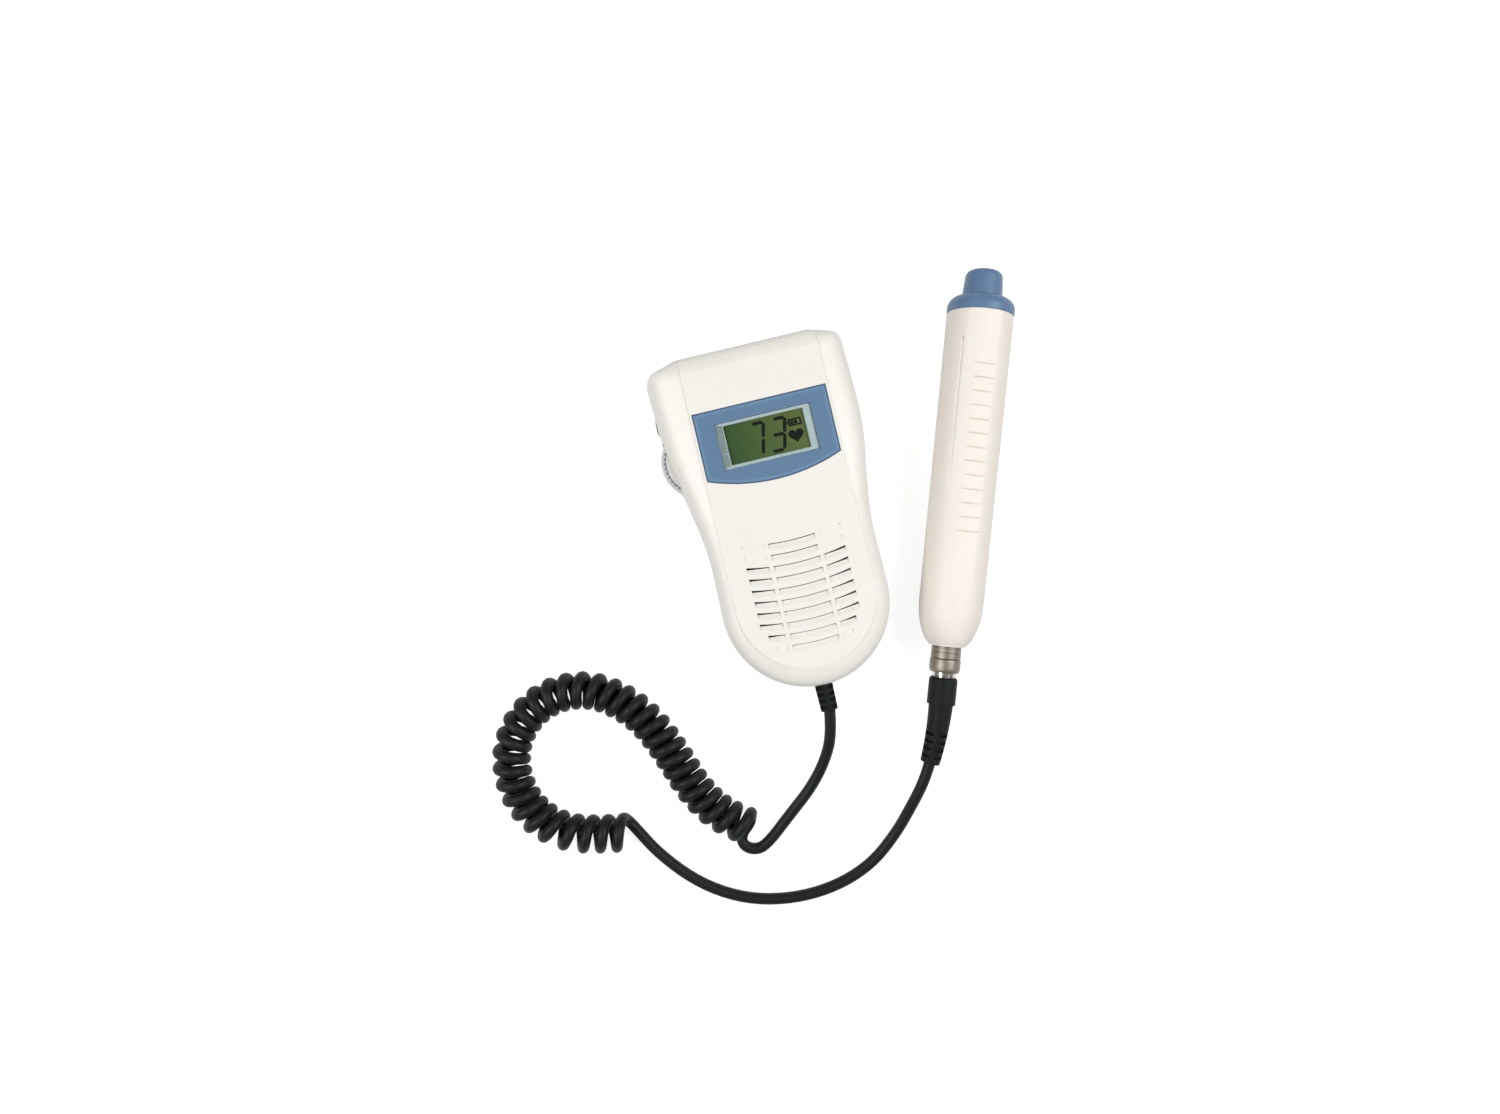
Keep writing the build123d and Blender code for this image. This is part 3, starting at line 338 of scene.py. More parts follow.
# Polyurethane jacket: black, dull, a little grey where the light grazes it
JACKET = Finish("black polyurethane jacket", "101416", "0C1011", 0.52, 0.45, 0.02, specular=0.3)
RUBBER = Finish("moulded black rubber", "0D1112", "090C0D", 0.6, 0.35, 0.03, specular=0.25)
# Nickel over brass, turned: fine rings round the connector's axis
TURNED_RINGS = {"gloss_spread": 0.1, "pattern": Pattern.TURNED, "axis": PROBE_WAY}
NICKEL = Finish("turned nickel plate", "9E958A", "8D857A", 0.5, 0.22, 0.012, metallic=1.0, **TURNED_RINGS)
# Other plated metal: bright where it is polished, duller as it left the bath
NICKEL_BRIGHT = Finish("bright nickel neck", "D8D4CC", "C9C5BD", 0.16, 0.2, 0.006, metallic=1.0)
NICKEL_PLAIN = Finish("nickel plate", "B5B0A8", "A8A39B", 0.26, 0.4, 0.006, metallic=1.0)
ZINC = Finish("zinc plated steel", "A9ABAE", "9B9DA0", 0.36, 0.4, 0.012, metallic=1.0)
STEEL_DARK = Finish("phosphated steel", "55585C", "4A4D51", 0.5, 0.4, 0.02, metallic=1.0)
# Pieces inside the housing and the probe: paper, solder mask, epoxy, wrap, nylon and ceramic
PAPER = Finish("pressed paper cone", "8C8C8A", "7E7E7C", 0.85, 0.5, 0.05)
MASK = Finish("green solder mask", "1D4F30", "23583A", 0.35, 1.2, 0.03)
EPOXY = Finish("moulded black epoxy", "1C1C1E", "232326", 0.5, 0.4, 0.02)
WRAP = Finish("shrunk cell wrap", "2B3342", "252D3B", 0.28, 1.0, 0.008, coat=0.3)
NYLON_CREAM = Finish("moulded cream nylon", "CFC6AE", "C5BCA4", 0.45, 0.5, 0.015)
CERAMIC = Finish("fired ceramic", "D6CCB4", "CBC1A9", 0.6, 0.3, 0.02)
NYLON_GREY = Finish("moulded grey nylon", "B4B8BE", "A9ADB4", 0.45, 0.4, 0.015)
# Moulded nylon where the thumb turns the dial; its grey-blue is painted shade of the dark notches of its knurl
KNURL_NOTCH_SHADE = Finish("moulded nylon with painted notch shade", "8C97AB", "7F8AA0", 0.45, 0.4, 0.015)


# Building


def finish_mesh(bm: bmesh.types.BMesh, name: str) -> Object:
    """Turns a mesh in millimetres into an object in metres.

    Args:
        bm: the mesh, which is used up.
        name: the object's name.

    Returns:
        The linked object.
    """
    bmesh.ops.remove_doubles(bm, verts=bm.verts, dist=MERGE)
    bmesh.ops.recalc_face_normals(bm, faces=bm.faces)
    bmesh.ops.scale(bm, vec=(MM, MM, MM), verts=bm.verts)
    mesh = bpy.data.meshes.new(name)
    bm.to_mesh(mesh)
    bm.free()
    piece = bpy.data.objects.new(name, mesh)
    bpy.context.scene.collection.objects.link(piece)
    return piece


def between(start: float, end: float, share: float) -> float:
    """Gives a value between two others.

    Args:
        start: the value at share 0.
        end: the value at share 1.
        share: how far it lies from the first to the second.

    Returns:
        The value.
    """
    return start + (end - start) * share


def add_ring(bm: bmesh.types.BMesh, points: Iterable[Vector]) -> list[bmesh.types.BMEdge]:
    """Adds a closed loop of edges.

    Args:
        bm: the mesh.
        points: the loop's corners.

    Returns:
        Its edges.
    """
    verts = [bm.verts.new(point) for point in points]
    return [bm.edges.new((a, b)) for a, b in zip(verts, verts[1:] + verts[:1])]


def skin_rings(bm: bmesh.types.BMesh, rings: Iterable[Iterable[Vector]]) -> bmesh.types.BMesh:
    """Bridges loops of edges into a closed form.

    Args:
        bm: the mesh that it is added to.
        rings: the loops, with the same number of corners.

    Returns:
        The same mesh.
    """
    loops = [add_ring(bm, ring) for ring in rings]
    for low, high in zip(loops, loops[1:]):
        bmesh.ops.bridge_loops(bm, edges=low + high)
    bmesh.ops.contextual_create(bm, geom=loops[0])
    bmesh.ops.contextual_create(bm, geom=loops[-1])
    return bm


def draw_face(bm: bmesh.types.BMesh, corners: Iterable[Place], way: Place) -> None:
    """Adds a face and draws it out into a solid.

    Args:
        bm: the mesh.
        corners: the face's corners.
        way: how far it is drawn in each direction.
    """
    face = bm.faces.new([bm.verts.new(corner) for corner in corners])
    lifted = bmesh.ops.extrude_face_region(bm, geom=[face])["geom"]
    moved = [item for item in lifted if isinstance(item, bmesh.types.BMVert)]
    bmesh.ops.translate(bm, vec=way, verts=moved)


def prism(bm: bmesh.types.BMesh, points: Iterable[Point], low: float, high: float) -> bmesh.types.BMesh:
    """Adds an upright prism on a flat outline.

    Args:
        bm: the mesh.
        points: the outline's corners.
        low: height of its foot.
        high: height of its top.

    Returns:
        The same mesh.
    """
    draw_face(bm, [(x, y, low) for x, y in points], (0, 0, high - low))
    return bm


def add_box(bm: bmesh.types.BMesh, x: Point, y: Point, z: Point) -> bmesh.types.BMesh:
    """Adds a box between the low and high values given for each direction.

    Args:
        bm: the mesh.
        x: low and high across.
        y: low and high along.
        z: low and high up.

    Returns:
        The same mesh.
    """
    middle = [(low + high) / 2 for low, high in (x, y, z)]
    size = [high - low for low, high in (x, y, z)]
    made = bmesh.ops.create_cube(bm, size=1.0)["verts"]
    bmesh.ops.scale(bm, vec=size, verts=made)
    bmesh.ops.translate(bm, vec=middle, verts=made)
    return bm


def ring_of_blocks(bm: bmesh.types.BMesh, size: Place, out: Point, count: int, turn: float) -> None:
    """Adds equal blocks round the local Z axis.

    Args:
        bm: the mesh.
        size: a block's size across, outwards and along.
        out: the distance of the blocks' middles from the axis, and their place along it.
        count: how many.
        turn: degrees from the local Y axis to the first.
    """
    for block in range(count):
        made = bmesh.ops.create_cube(bm, size=1.0)["verts"]
        bmesh.ops.scale(bm, vec=size, verts=made)
        bmesh.ops.translate(bm, vec=(0, *out), verts=made)
        place = Matrix.Rotation(2 * pi * block / count + radians(turn), 3, "Z")
        bmesh.ops.rotate(bm, cent=(0, 0, 0), matrix=place, verts=made)


def lathe(profile: Sequence[Point], steps: int = SEGMENTS) -> bmesh.types.BMesh:
    """Turns a profile of (distance along, radius) about the local Z axis.

    Args:
        profile: the profile, closed if it starts and ends on the axis or at the same point.
        steps: corners round the axis.

    Returns:
        The turned mesh.
    """
    bm = bmesh.new()
    verts = [bm.verts.new((radius, 0.0, along)) for along, radius in profile]
    edges = [bm.edges.new((a, b)) for a, b in zip(verts, verts[1:])]
    ends = {"cent": (0, 0, 0), "axis": (0, 0, 1), "angle": 2 * pi, "steps": steps}
    bmesh.ops.spin(bm, geom=verts + edges, use_merge=True, use_duplicate=False, **ends)
    bmesh.ops.remove_doubles(bm, verts=bm.verts, dist=MERGE)
    return bm


def rod(low: float, high: float, radius: float, steps: int = SEGMENTS) -> bmesh.types.BMesh:
    """Makes a plain round bar along the local Z axis, such as the tool of a bore.

    Args:
        low: where it starts.
        high: where it ends.
        radius: its radius.
        steps: corners round it.

    Returns:
        The mesh.
    """
    return lathe([(low, 0), (low, radius), (high, radius), (high, 0)], steps)


def place_mesh(bm: bmesh.types.BMesh, matrix: Matrix) -> bmesh.types.BMesh:
    """Moves a whole mesh.

    Args:
        bm: the mesh.
        matrix: where to.

    Returns:
        The same mesh.
    """
    bmesh.ops.transform(bm, matrix=matrix, verts=bm.verts)
    return bm


def turned(name: str, profile: Sequence[Point], place: Matrix, steps: int = SEGMENTS) -> Object:
    """Makes a turned piece at its place.

    Args:
        name: the piece's name.
        profile: its profile, as lathe takes it.
        place: the place of its axis.
        steps: corners round the axis.

    Returns:
        The piece.
    """
    return finish_mesh(place_mesh(lathe(profile, steps), place), name)


class Cut(Enum):
    """Ways that one solid works on another."""

    TAKE = "DIFFERENCE"
    JOIN = "UNION"
    KEEP = "INTERSECT"


def carve(piece: Object, tool: bmesh.types.BMesh, cut: Cut = Cut.TAKE) -> None:
    """Works one solid on another and keeps the result in the piece's mesh.

    Args:
        piece: the solid that is worked on, in metres.
        tool: the other solid, in millimetres.
        cut: what is done.
    """
    other = finish_mesh(tool, "tool")
    modifier = piece.modifiers.new("work", "BOOLEAN")
    modifier.operation = cut.value
    modifier.solver = "EXACT"
    modifier.use_self = cut is not Cut.JOIN
    modifier.object = other
    bake(piece)
    bpy.data.objects.remove(other)


def carve_box(piece: Object, x: Point, y: Point, z: Point, cut: Cut = Cut.TAKE) -> None:
    """Works a box on a piece.

    Args:
        piece: the solid that is worked on, in metres.
        x: the box's low and high across, in millimetres.
        y: its low and high along.
        z: its low and high up.
        cut: what is done.
    """
    carve(piece, add_box(bmesh.new(), x, y, z), cut)


def bake(piece: Object) -> None:
    """Puts the result of the piece's modifiers into its mesh.

    Args:
        piece: the object.
    """
    bpy.context.view_layer.update()
    graph = bpy.context.evaluated_depsgraph_get()
    mesh = bpy.data.meshes.new_from_object(piece.evaluated_get(graph))
    old = piece.data
    piece.modifiers.clear()
    piece.data = mesh
    bpy.data.meshes.remove(old)


def soften(piece: Object, width: float, segments: int = 2, angle: float = 30.0) -> None:
    """Rounds the piece's edges.

    Args:
        piece: the object.
        width: width of the rounding in millimetres.
        segments: steps across it.
        angle: least angle of an edge, in degrees.
    """
    modifier = piece.modifiers.new("edges", "BEVEL")
    modifier.width = width * MM
    modifier.segments = segments
    modifier.limit_method = "ANGLE"
    modifier.angle_limit = radians(angle)
    modifier.use_clamp_overlap = True
    bake(piece)


def dress(piece: Object, finish: Surface) -> None:
    """Gives a solid that stays its finish, and leaves its mesh as it is.

    Args:
        piece: the object.
        finish: what makes its material.
    """
    for slot in piece.material_slots:
        slot.material = finish.make()


def smooth(piece: Object) -> None:
    """Shades a new piece smooth between its sharp edges, with flat faces kept even.

    Args:
        piece: the object.
    """
    piece.data.shade_smooth()
    piece.data.set_sharp_from_angle(angle=SMOOTH_ANGLE)
    modifier = piece.modifiers.new("even", "WEIGHTED_NORMAL")
    modifier.mode = "FACE_AREA_WITH_ANGLE"
    modifier.keep_sharp = True
    bake(piece)


def settle(piece: Object, body: Body, finish: Surface, stands_for: Sequence[str] = ()) -> Object:
    """Finishes a new piece and lets it ride on its body.

    Args:
        piece: the object.
        body: the body it rides on.
        finish: what makes its material, if it has none yet.
        stands_for: CAD nodes that it replaces.

    Returns:
        The piece.
    """
    if not piece.data.materials:
        piece.data.materials.append(finish.make())
    if piece.type == "MESH":
        smooth(piece)
        log.info("%s: %d faces", piece.name, len(piece.data.polygons))
    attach(piece, body.value)
    if stands_for:
        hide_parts(*stands_for)
    return piece


# Main unit


@dataclass
class Housing:
    """Shells of the main unit with the louvres, the label, the display's border and the door, in millimetres."""

    # Heights over the rear face
    parting_z: float = 16.0
    front_z: float = 34.2
    panel_rise: float = 0.4
    # Outline at the parting line, from the display end to the round lower end
    top_y: float = 66.2
    top_half: float = 25.5
    corner_x: float = 34.6
    corner_y: float = 63.6
    corner_end_y: float = 58.5
    shoulder_half: float = 38.4
    shoulder_y: float = 38.0
    waist_half: float = 31.7
    waist_y: float = -14.0
    end_r: float = 32.0
    end_y: float = -34.0
    top_lean: float = 1.9
    lean_y: float = 20.0
    # Raised panel
    panel_half: float = 25.9
    panel_top_y: float = 58.0
    panel_end_y: float = -31.4
    panel_corner: float = 2.0
    # Wall, form of the flanks and of the rear edge, roundings, play round label and window
    wall: float = 2.0
    levels: int = 16
    swell: float = 0.17
    rear_draw: float = 1.87
    rear_round: float = 3.13
    panel_edge: float = 0.38
    edge: float = 0.14
    seat_gap: float = 0.12
    # Label, with its dark line of painted shadow at the edge and its pale band of painted highlight on the bevel
    label_half: float = 25.1
    label_top: float = 43.0
    label_side_end: float = 18.0
    label_belly: float = 4.8
    label_t: float = 1.0
    shadow_line_w: float = 0.45
    highlight_band_w: float = 1.0
    # Opening of the display
    window_half: float = 17.9
    window_low: float = 20.5
    window_high: float = 37.7
    # Louvres: rows, the two webs between their stretches, and the slits
    rows: int = 10
    row_top_y: float = -10.8
    row_pitch: float = 4.23
    row_arc_r: float = 87.0
    row_web_x: float = 9.5
    row_web: float = 1.4
    row_half: float = 18.6
    row_short: tuple[float, ...] = (0.0,) * 8 + (2.1, 4.1)
    louvre_w: float = 2.3
    louvre_depth: float = 1.25
    slit_w: float = 0.75
    slit_end_w: float = 0.25
    # Battery box and door
    box_half: float = 15.25
    box_low_y: float = 6.6
    box_high_y: float = 59.8
    box_wall: float = 1.4
    roof_z: float = 16.7
    door_t: float = 1.8
    door_play: float = 0.25
    # Posts and wells of the screws, holes of the earphone socket and of the cord
    boss: Bar = (1.1, 15.9, 3.2, 32)
    well: Bar = (-2.0, 3.8, 2.55, 48)
    jack_y: float = 45.0
    jack_z: float = 9.0
    jack_r: float = 3.35
    exit_z: float = 12.0
    exit_r: float = 3.7

    def outline(self, share: float, inset: float, z: float) -> list[Vector]:
        """Gives the housing's outline at a height.

        Args:
            share: from the parting line's outline, 0, to the raised panel's, 1.
            inset: how far it is drawn in.
            z: the height.

        Returns:
            The loop's points, starting at the middle of the top end.
        """
        cut = self.panel_corner
        top = between(self.top_y, self.panel_top_y, share) - inset
        half = between(self.shoulder_half, self.panel_half, share) - inset
        end_r = between(self.end_r, self.panel_half, share) - inset
        end_y = between(self.end_y, self.panel_end_y, share)
        flat = Vector((between(self.top_half, self.panel_half - cut, share) - inset, top))
        slope_x = between(self.corner_x, self.panel_half - cut / 2, share) - inset
        slope = Vector((slope_x, between(self.corner_y, self.panel_top_y, share) - inset))
        lift = (slope.x - half) * (flat.y - slope.y) / (flat.x - slope.x)
        corner = Vector((half, slope.y - lift))
        side = Vector((half, between(self.corner_end_y, self.panel_top_y - cut, share) - inset))
        shoulder = Vector((half, self.shoulder_y))
        waist = Vector((between(self.waist_half, self.panel_half, share) - inset, self.waist_y))
        foot = Vector((end_r, end_y))
        # Top end and its sloping corner
        right = [Vector((0.0, top)), flat * 0.5 + Vector((0.0, top)) * 0.5]
        right += [flat + (slope - flat) * step / 2 for step in range(2)]
        for t in (step / 9 for step in range(9)):
            right.append(slope * (1 - t) ** 2 + corner * (2 * t * (1 - t)) + side * t**2)
        # Shoulder, waist and the round lower end
        right += [side + (shoulder - side) * step / 4 for step in range(4)]
        run = shoulder.y - waist.y
        for t in (step / 14 for step in range(14)):
            ease = t * t * (3 - 2 * t)
            right.append(Vector((shoulder.x + (waist.x - shoulder.x) * ease, shoulder.y - run * t)))
        right += [waist + (foot - waist) * step / 4 for step in range(4)]
        right += [Vector((end_r * cos(a), end_y - end_r * sin(a))) for a in (pi / 2 * s / 16 for s in range(16))]
        left = [Vector((-point.x, point.y)) for point in reversed(right[1:])]
        loop = right + [Vector((0.0, end_y - end_r))] + left
        # The sides lean in towards the display end
        lean = self.top_lean * (1 - share) / (self.top_y - self.lean_y)
        return [Vector((point.x - lean * max(0.0, point.y - self.lean_y), point.y, z)) for point in loop]

    def front_rings(self, inset: float, rise: float) -> list[list[Vector]]:
        """Gives the loops of the front half, whose flanks swell and then turn over to the panel.

        Args:
            inset: how far the loops are drawn in.
            rise: how far the top lies over the front face.

        Returns:
            The loops from the parting line up.
        """
        height = self.front_z - self.parting_z + rise
        rings = []
        for level in range(self.levels + 1):
            t = 1 - (1 - level / self.levels) ** 1.5
            share = self.swell * t + (1 - self.swell) * t**9
            rings.append(self.outline(share, inset, self.parting_z + height * t))
        return rings

    def rear_rings(self) -> list[list[Vector]]:
        """Gives the loops of the rear half, from its rounded back edge up.

        Returns:
            The loops from the rear face to the parting line.
        """
        rings = []
        for level in range(self.levels + 1):
            z = self.parting_z * (level / self.levels) ** 1.6
            draw = self.rear_draw * (1 - z / self.parting_z) + self.rear_round * max(0.0, 1 - z / 4) ** 2
            rings.append(self.outline(0.0, draw, z))
        return rings

    def cavity(self, low: float, high: float, share: float, draw: float) -> bmesh.types.BMesh:
        """Makes one step of the hollow inside, with the outline's share and draw that it follows."""
        return skin_rings(bmesh.new(), [self.outline(share, draw + self.wall, z) for z in (low, high)])

    def label_points(self, gap: float) -> list[Point]:
        """Gives the label's outline with its bowed lower edge.

        Args:
            gap: how far the outline is grown.

        Returns:
            The outline's corners, from the upper left round.
        """
        half = self.label_half + gap
        end = self.label_side_end - gap
        radius = (half**2 + self.label_belly**2) / (2 * self.label_belly)
        centre = end - self.label_belly + radius
        across = [half - 2 * half * step / 24 for step in range(25)]
        bow = [(x, centre - sqrt(radius**2 - x**2)) for x in across]
        return [(-half, self.label_top + gap), (half, self.label_top + gap)] + bow

    def bow(self, row: int, x: float) -> float:
        """Gives the height along Y of a louvre's middle line at x."""
        middle = self.row_top_y - self.row_pitch * row
        return middle + self.row_arc_r - sqrt(self.row_arc_r**2 - x**2)

    def louvre_spans(self, row: int) -> list[Point]:
        """Gives the stretches of a row between its webs; the last rows are shorter.

        Args:
            row: the row, from the top.

        Returns:
            The ends across of the middle, right and left stretch.
        """
        reach = self.row_half - self.row_short[row]
        inner = self.row_web_x - self.row_web / 2
        outer = self.row_web_x + self.row_web / 2
        return [(-inner, inner), (outer, reach), (-reach, -outer)]

    def louvres(self) -> tuple[bmesh.types.BMesh, bmesh.types.BMesh]:
        """Makes the tools that cut the sloping louvres and the slits along their upper edges.

        Returns:
            The louvres' tool and the slits' tool.
        """
        vanes = bmesh.new()
        slits = bmesh.new()
        top = self.front_z + self.panel_rise
        over = top + 1
        under = top - 6
        high = self.louvre_w / 2
        for row in range(self.rows):
            for span in self.louvre_spans(row):
                outer = abs(sum(span)) > 1
                shallow = outer and row in (0, 1, self.rows - 1)
                depth = self.louvre_depth * (0.5 if shallow else 1.0)
                section = [(high, over), (high, top - depth), (-high, top - 0.02), (-high, over)]
                self.sweep_row(vanes, row, span, (section, section))
                if shallow:
                    continue
                ends = []
                for x in span:
                    wide = outer and abs(x) > self.row_web_x + self.row_web
                    edge = high - (self.slit_w if wide else self.slit_end_w)
                    ends.append([(high + 0.05, over), (high + 0.05, under), (edge, under), (edge, over)])
                self.sweep_row(slits, row, span, ends)
        return vanes, slits

    def sweep_row(self, bm: bmesh.types.BMesh, row: int, span: Point, ends: Sequence[Sequence[Point]]) -> None:
        """Draws a section along a stretch of a bowed row.

        Args:
            bm: the mesh that it is added to.
            row: the row.
            span: its two ends across.
            ends: the section at either end, with corners as (up from the row's line, height).
        """
        steps = 10 if span[0] < 0 < span[1] else 5
        rings = []
        for step in range(steps + 1):
            x = span[0] + (span[1] - span[0]) * step / steps
            y = self.bow(row, x)
            section = [Vector(start).lerp(Vector(end), step / steps) for start, end in zip(*ends)]
            rings.append([Vector((x, y + up, z)) for up, z in section])
        skin_rings(bm, rings)

    def tongue(self) -> bmesh.types.BMesh:
        """Makes the upright form that bounds the raised panel.

        Returns:
            The mesh.
        """
        half = self.panel_half
        turns = [pi * step / 32 for step in range(33)]
        arc = [(half * cos(a), self.panel_end_y - half * sin(a)) for a in turns]
        return prism(bmesh.new(), [(-half, self.top_y + 3), (half, self.top_y + 3)] + arc, 10.0, 60.0)

    def front(self) -> None:
        """Makes the front moulding."""
        piece = finish_mesh(skin_rings(bmesh.new(), self.front_rings(0.0, 0.0)), "front_moulding")
        panel = finish_mesh(skin_rings(bmesh.new(), self.front_rings(-0.05, self.panel_rise)), "panel")
        carve(panel, self.tongue(), Cut.KEEP)
        soften(panel, self.panel_edge, 3, 40.0)
        tool = bmesh.new()
        tool.from_mesh(panel.data)
        bmesh.ops.scale(tool, vec=(1000, 1000, 1000), verts=tool.verts)
        bpy.data.objects.remove(panel)
        carve(piece, tool, Cut.JOIN)
        # The hollow in two steps: up along the flanks, then further in below the panel
        carve(piece, self.cavity(self.parting_z - 1, 24.0, 0.30, 0.0))
        carve(piece, self.cavity(23.9, 32.0, 0.84, 0.0))
        top = self.front_z + self.panel_rise
        gap = self.seat_gap
        carve(piece, prism(bmesh.new(), self.label_points(gap), top - self.label_t, top + 2))
        half = self.window_half + gap
        carve_box(piece, (-half, half), (self.window_low - gap, self.window_high + gap), (28.0, top + 2))
        for tool in self.louvres():
            carve(piece, tool)
        carve(piece, place_mesh(rod(*Dial.slot), Dial.place()))
        soften(piece, self.edge, 2, 38.0)
        settle(piece, Body.UNIT, ABS_WHITE, ["front_shell"])

    def rear(self) -> None:
        """Makes the rear moulding with its battery box, screw wells and holes."""
        piece = finish_mesh(skin_rings(bmesh.new(), self.rear_rings()), "rear_moulding")
        # The hollow in two steps: drawn in over the rounded rear edge, then up to the parting line
        carve(piece, self.cavity(2.0, 6.05, 0.0, 4.6))
        carve(piece, self.cavity(6.0, self.parting_z + 1, 0.0, 1.2))
        spots = [Matrix.Translation((x, y, 0)) for x, y in SCREWS]
        half, wall, low_y = self.box_half, self.box_wall, self.box_low_y
        around = ((-half - wall, half + wall), (low_y - wall, self.box_high_y + wall))
        carve_box(piece, *around, (1.0, self.roof_z + wall), Cut.JOIN)
        for spot in spots:
            carve(piece, place_mesh(rod(*self.boss), spot), Cut.JOIN)
        carve_box(piece, (-half, half), (low_y, self.box_high_y), (1.0, self.roof_z))
        carve_box(piece, (-half, half), (low_y, self.top_y + 3), (-2.0, self.door_t))
        for spot in spots:
            carve(piece, place_mesh(rod(*self.well), spot))
        way_x = Matrix.Translation((0, self.jack_y, self.jack_z)) @ Matrix.Rotation(-pi / 2, 4, "Y")
        carve(piece, place_mesh(rod(30, 45, self.jack_r, 48), way_x))
        way_y = Matrix.Translation((0, 0, self.exit_z)) @ Matrix.Rotation(pi / 2, 4, "X")
        carve(piece, place_mesh(rod(60, 70, self.exit_r, 48), way_y))
        soften(piece, self.edge, 2, 38.0)
        settle(piece, Body.UNIT, ABS_WHITE, ["rear_shell"])

    def door(self) -> None:
        """Makes the battery door with its thumb ridges."""
        piece = finish_mesh(skin_rings(bmesh.new(), self.rear_rings()), "battery_cover")
        play = self.door_play
        half = self.box_half - play
        carve_box(piece, (-half, half), (self.box_low_y + play, self.top_y + 3), (-1.0, self.door_t - play), Cut.KEEP)
        ridges = bmesh.new()
        for ridge in range(7):
            y = 44.0 + 1.9 * ridge
            reach = 8.0 - 0.25 * abs(ridge - 3) ** 2
            section = [(-reach, y), (reach, y), (reach - 0.3, y + 0.9), (-reach + 0.3, y + 0.9)]
            prism(ridges, section, -1.0, 0.45)
        carve(piece, ridges)
        soften(piece, 0.15, 2, 35.0)
        settle(piece, Body.DOOR, ABS_WHITE, ["battery_door"])

    def label(self) -> None:
        """Makes the printed label with its window opening, and a painted shadow and painted highlight round its edge.
        """
        top = self.front_z + self.panel_rise
        bm = prism(bmesh.new(), self.label_points(0.0), top - self.label_t, top)
        middle = max(bm.faces, key=lambda face: face.calc_center_median().z)
        # Outer ring: painted shadow of the gap round the label; next ring: painted highlight on its bevel
        for width, painted_light_index in ((self.shadow_line_w, 1), (self.highlight_band_w, 2)):
            rim = bmesh.ops.inset_region(bm, faces=[middle], thickness=width, use_even_offset=True)["faces"]
            for face in rim:
                face.material_index = painted_light_index
        piece = finish_mesh(bm, "display_label")
        for film in (FILM_BLUE, PAINTED_EDGE_SHADOW, PAINTED_BEVEL_HIGHLIGHT):
            piece.data.materials.append(film.make())
        half = self.window_half + 0.02
        carve_box(piece, (-half, half), (self.window_low - 0.02, self.window_high + 0.02), (top - 3, top + 2))
        soften(piece, 0.08, 2, 40.0)
        settle(piece, Body.UNIT, FILM_BLUE, ["display_panel"])

    def border(self) -> None:
        """Makes the silver border that shows round the liquid crystal."""
        half = self.window_half
        block = add_box(bmesh.new(), (-half, half), (self.window_low, self.window_high), (32.6, 33.8))
        piece = finish_mesh(block, "silver_border")
        opening = [(-14.9, 21.9), (-14.9, 36.5), (14.9, 36.5), (14.9, 21.9)]
        carve(piece, prism(bmesh.new(), opening, 31.0, 35.0))
        soften(piece, 0.35, 3, 40.0)
        settle(piece, Body.UNIT, FILM_SILVER, ["lcd_bezel"])


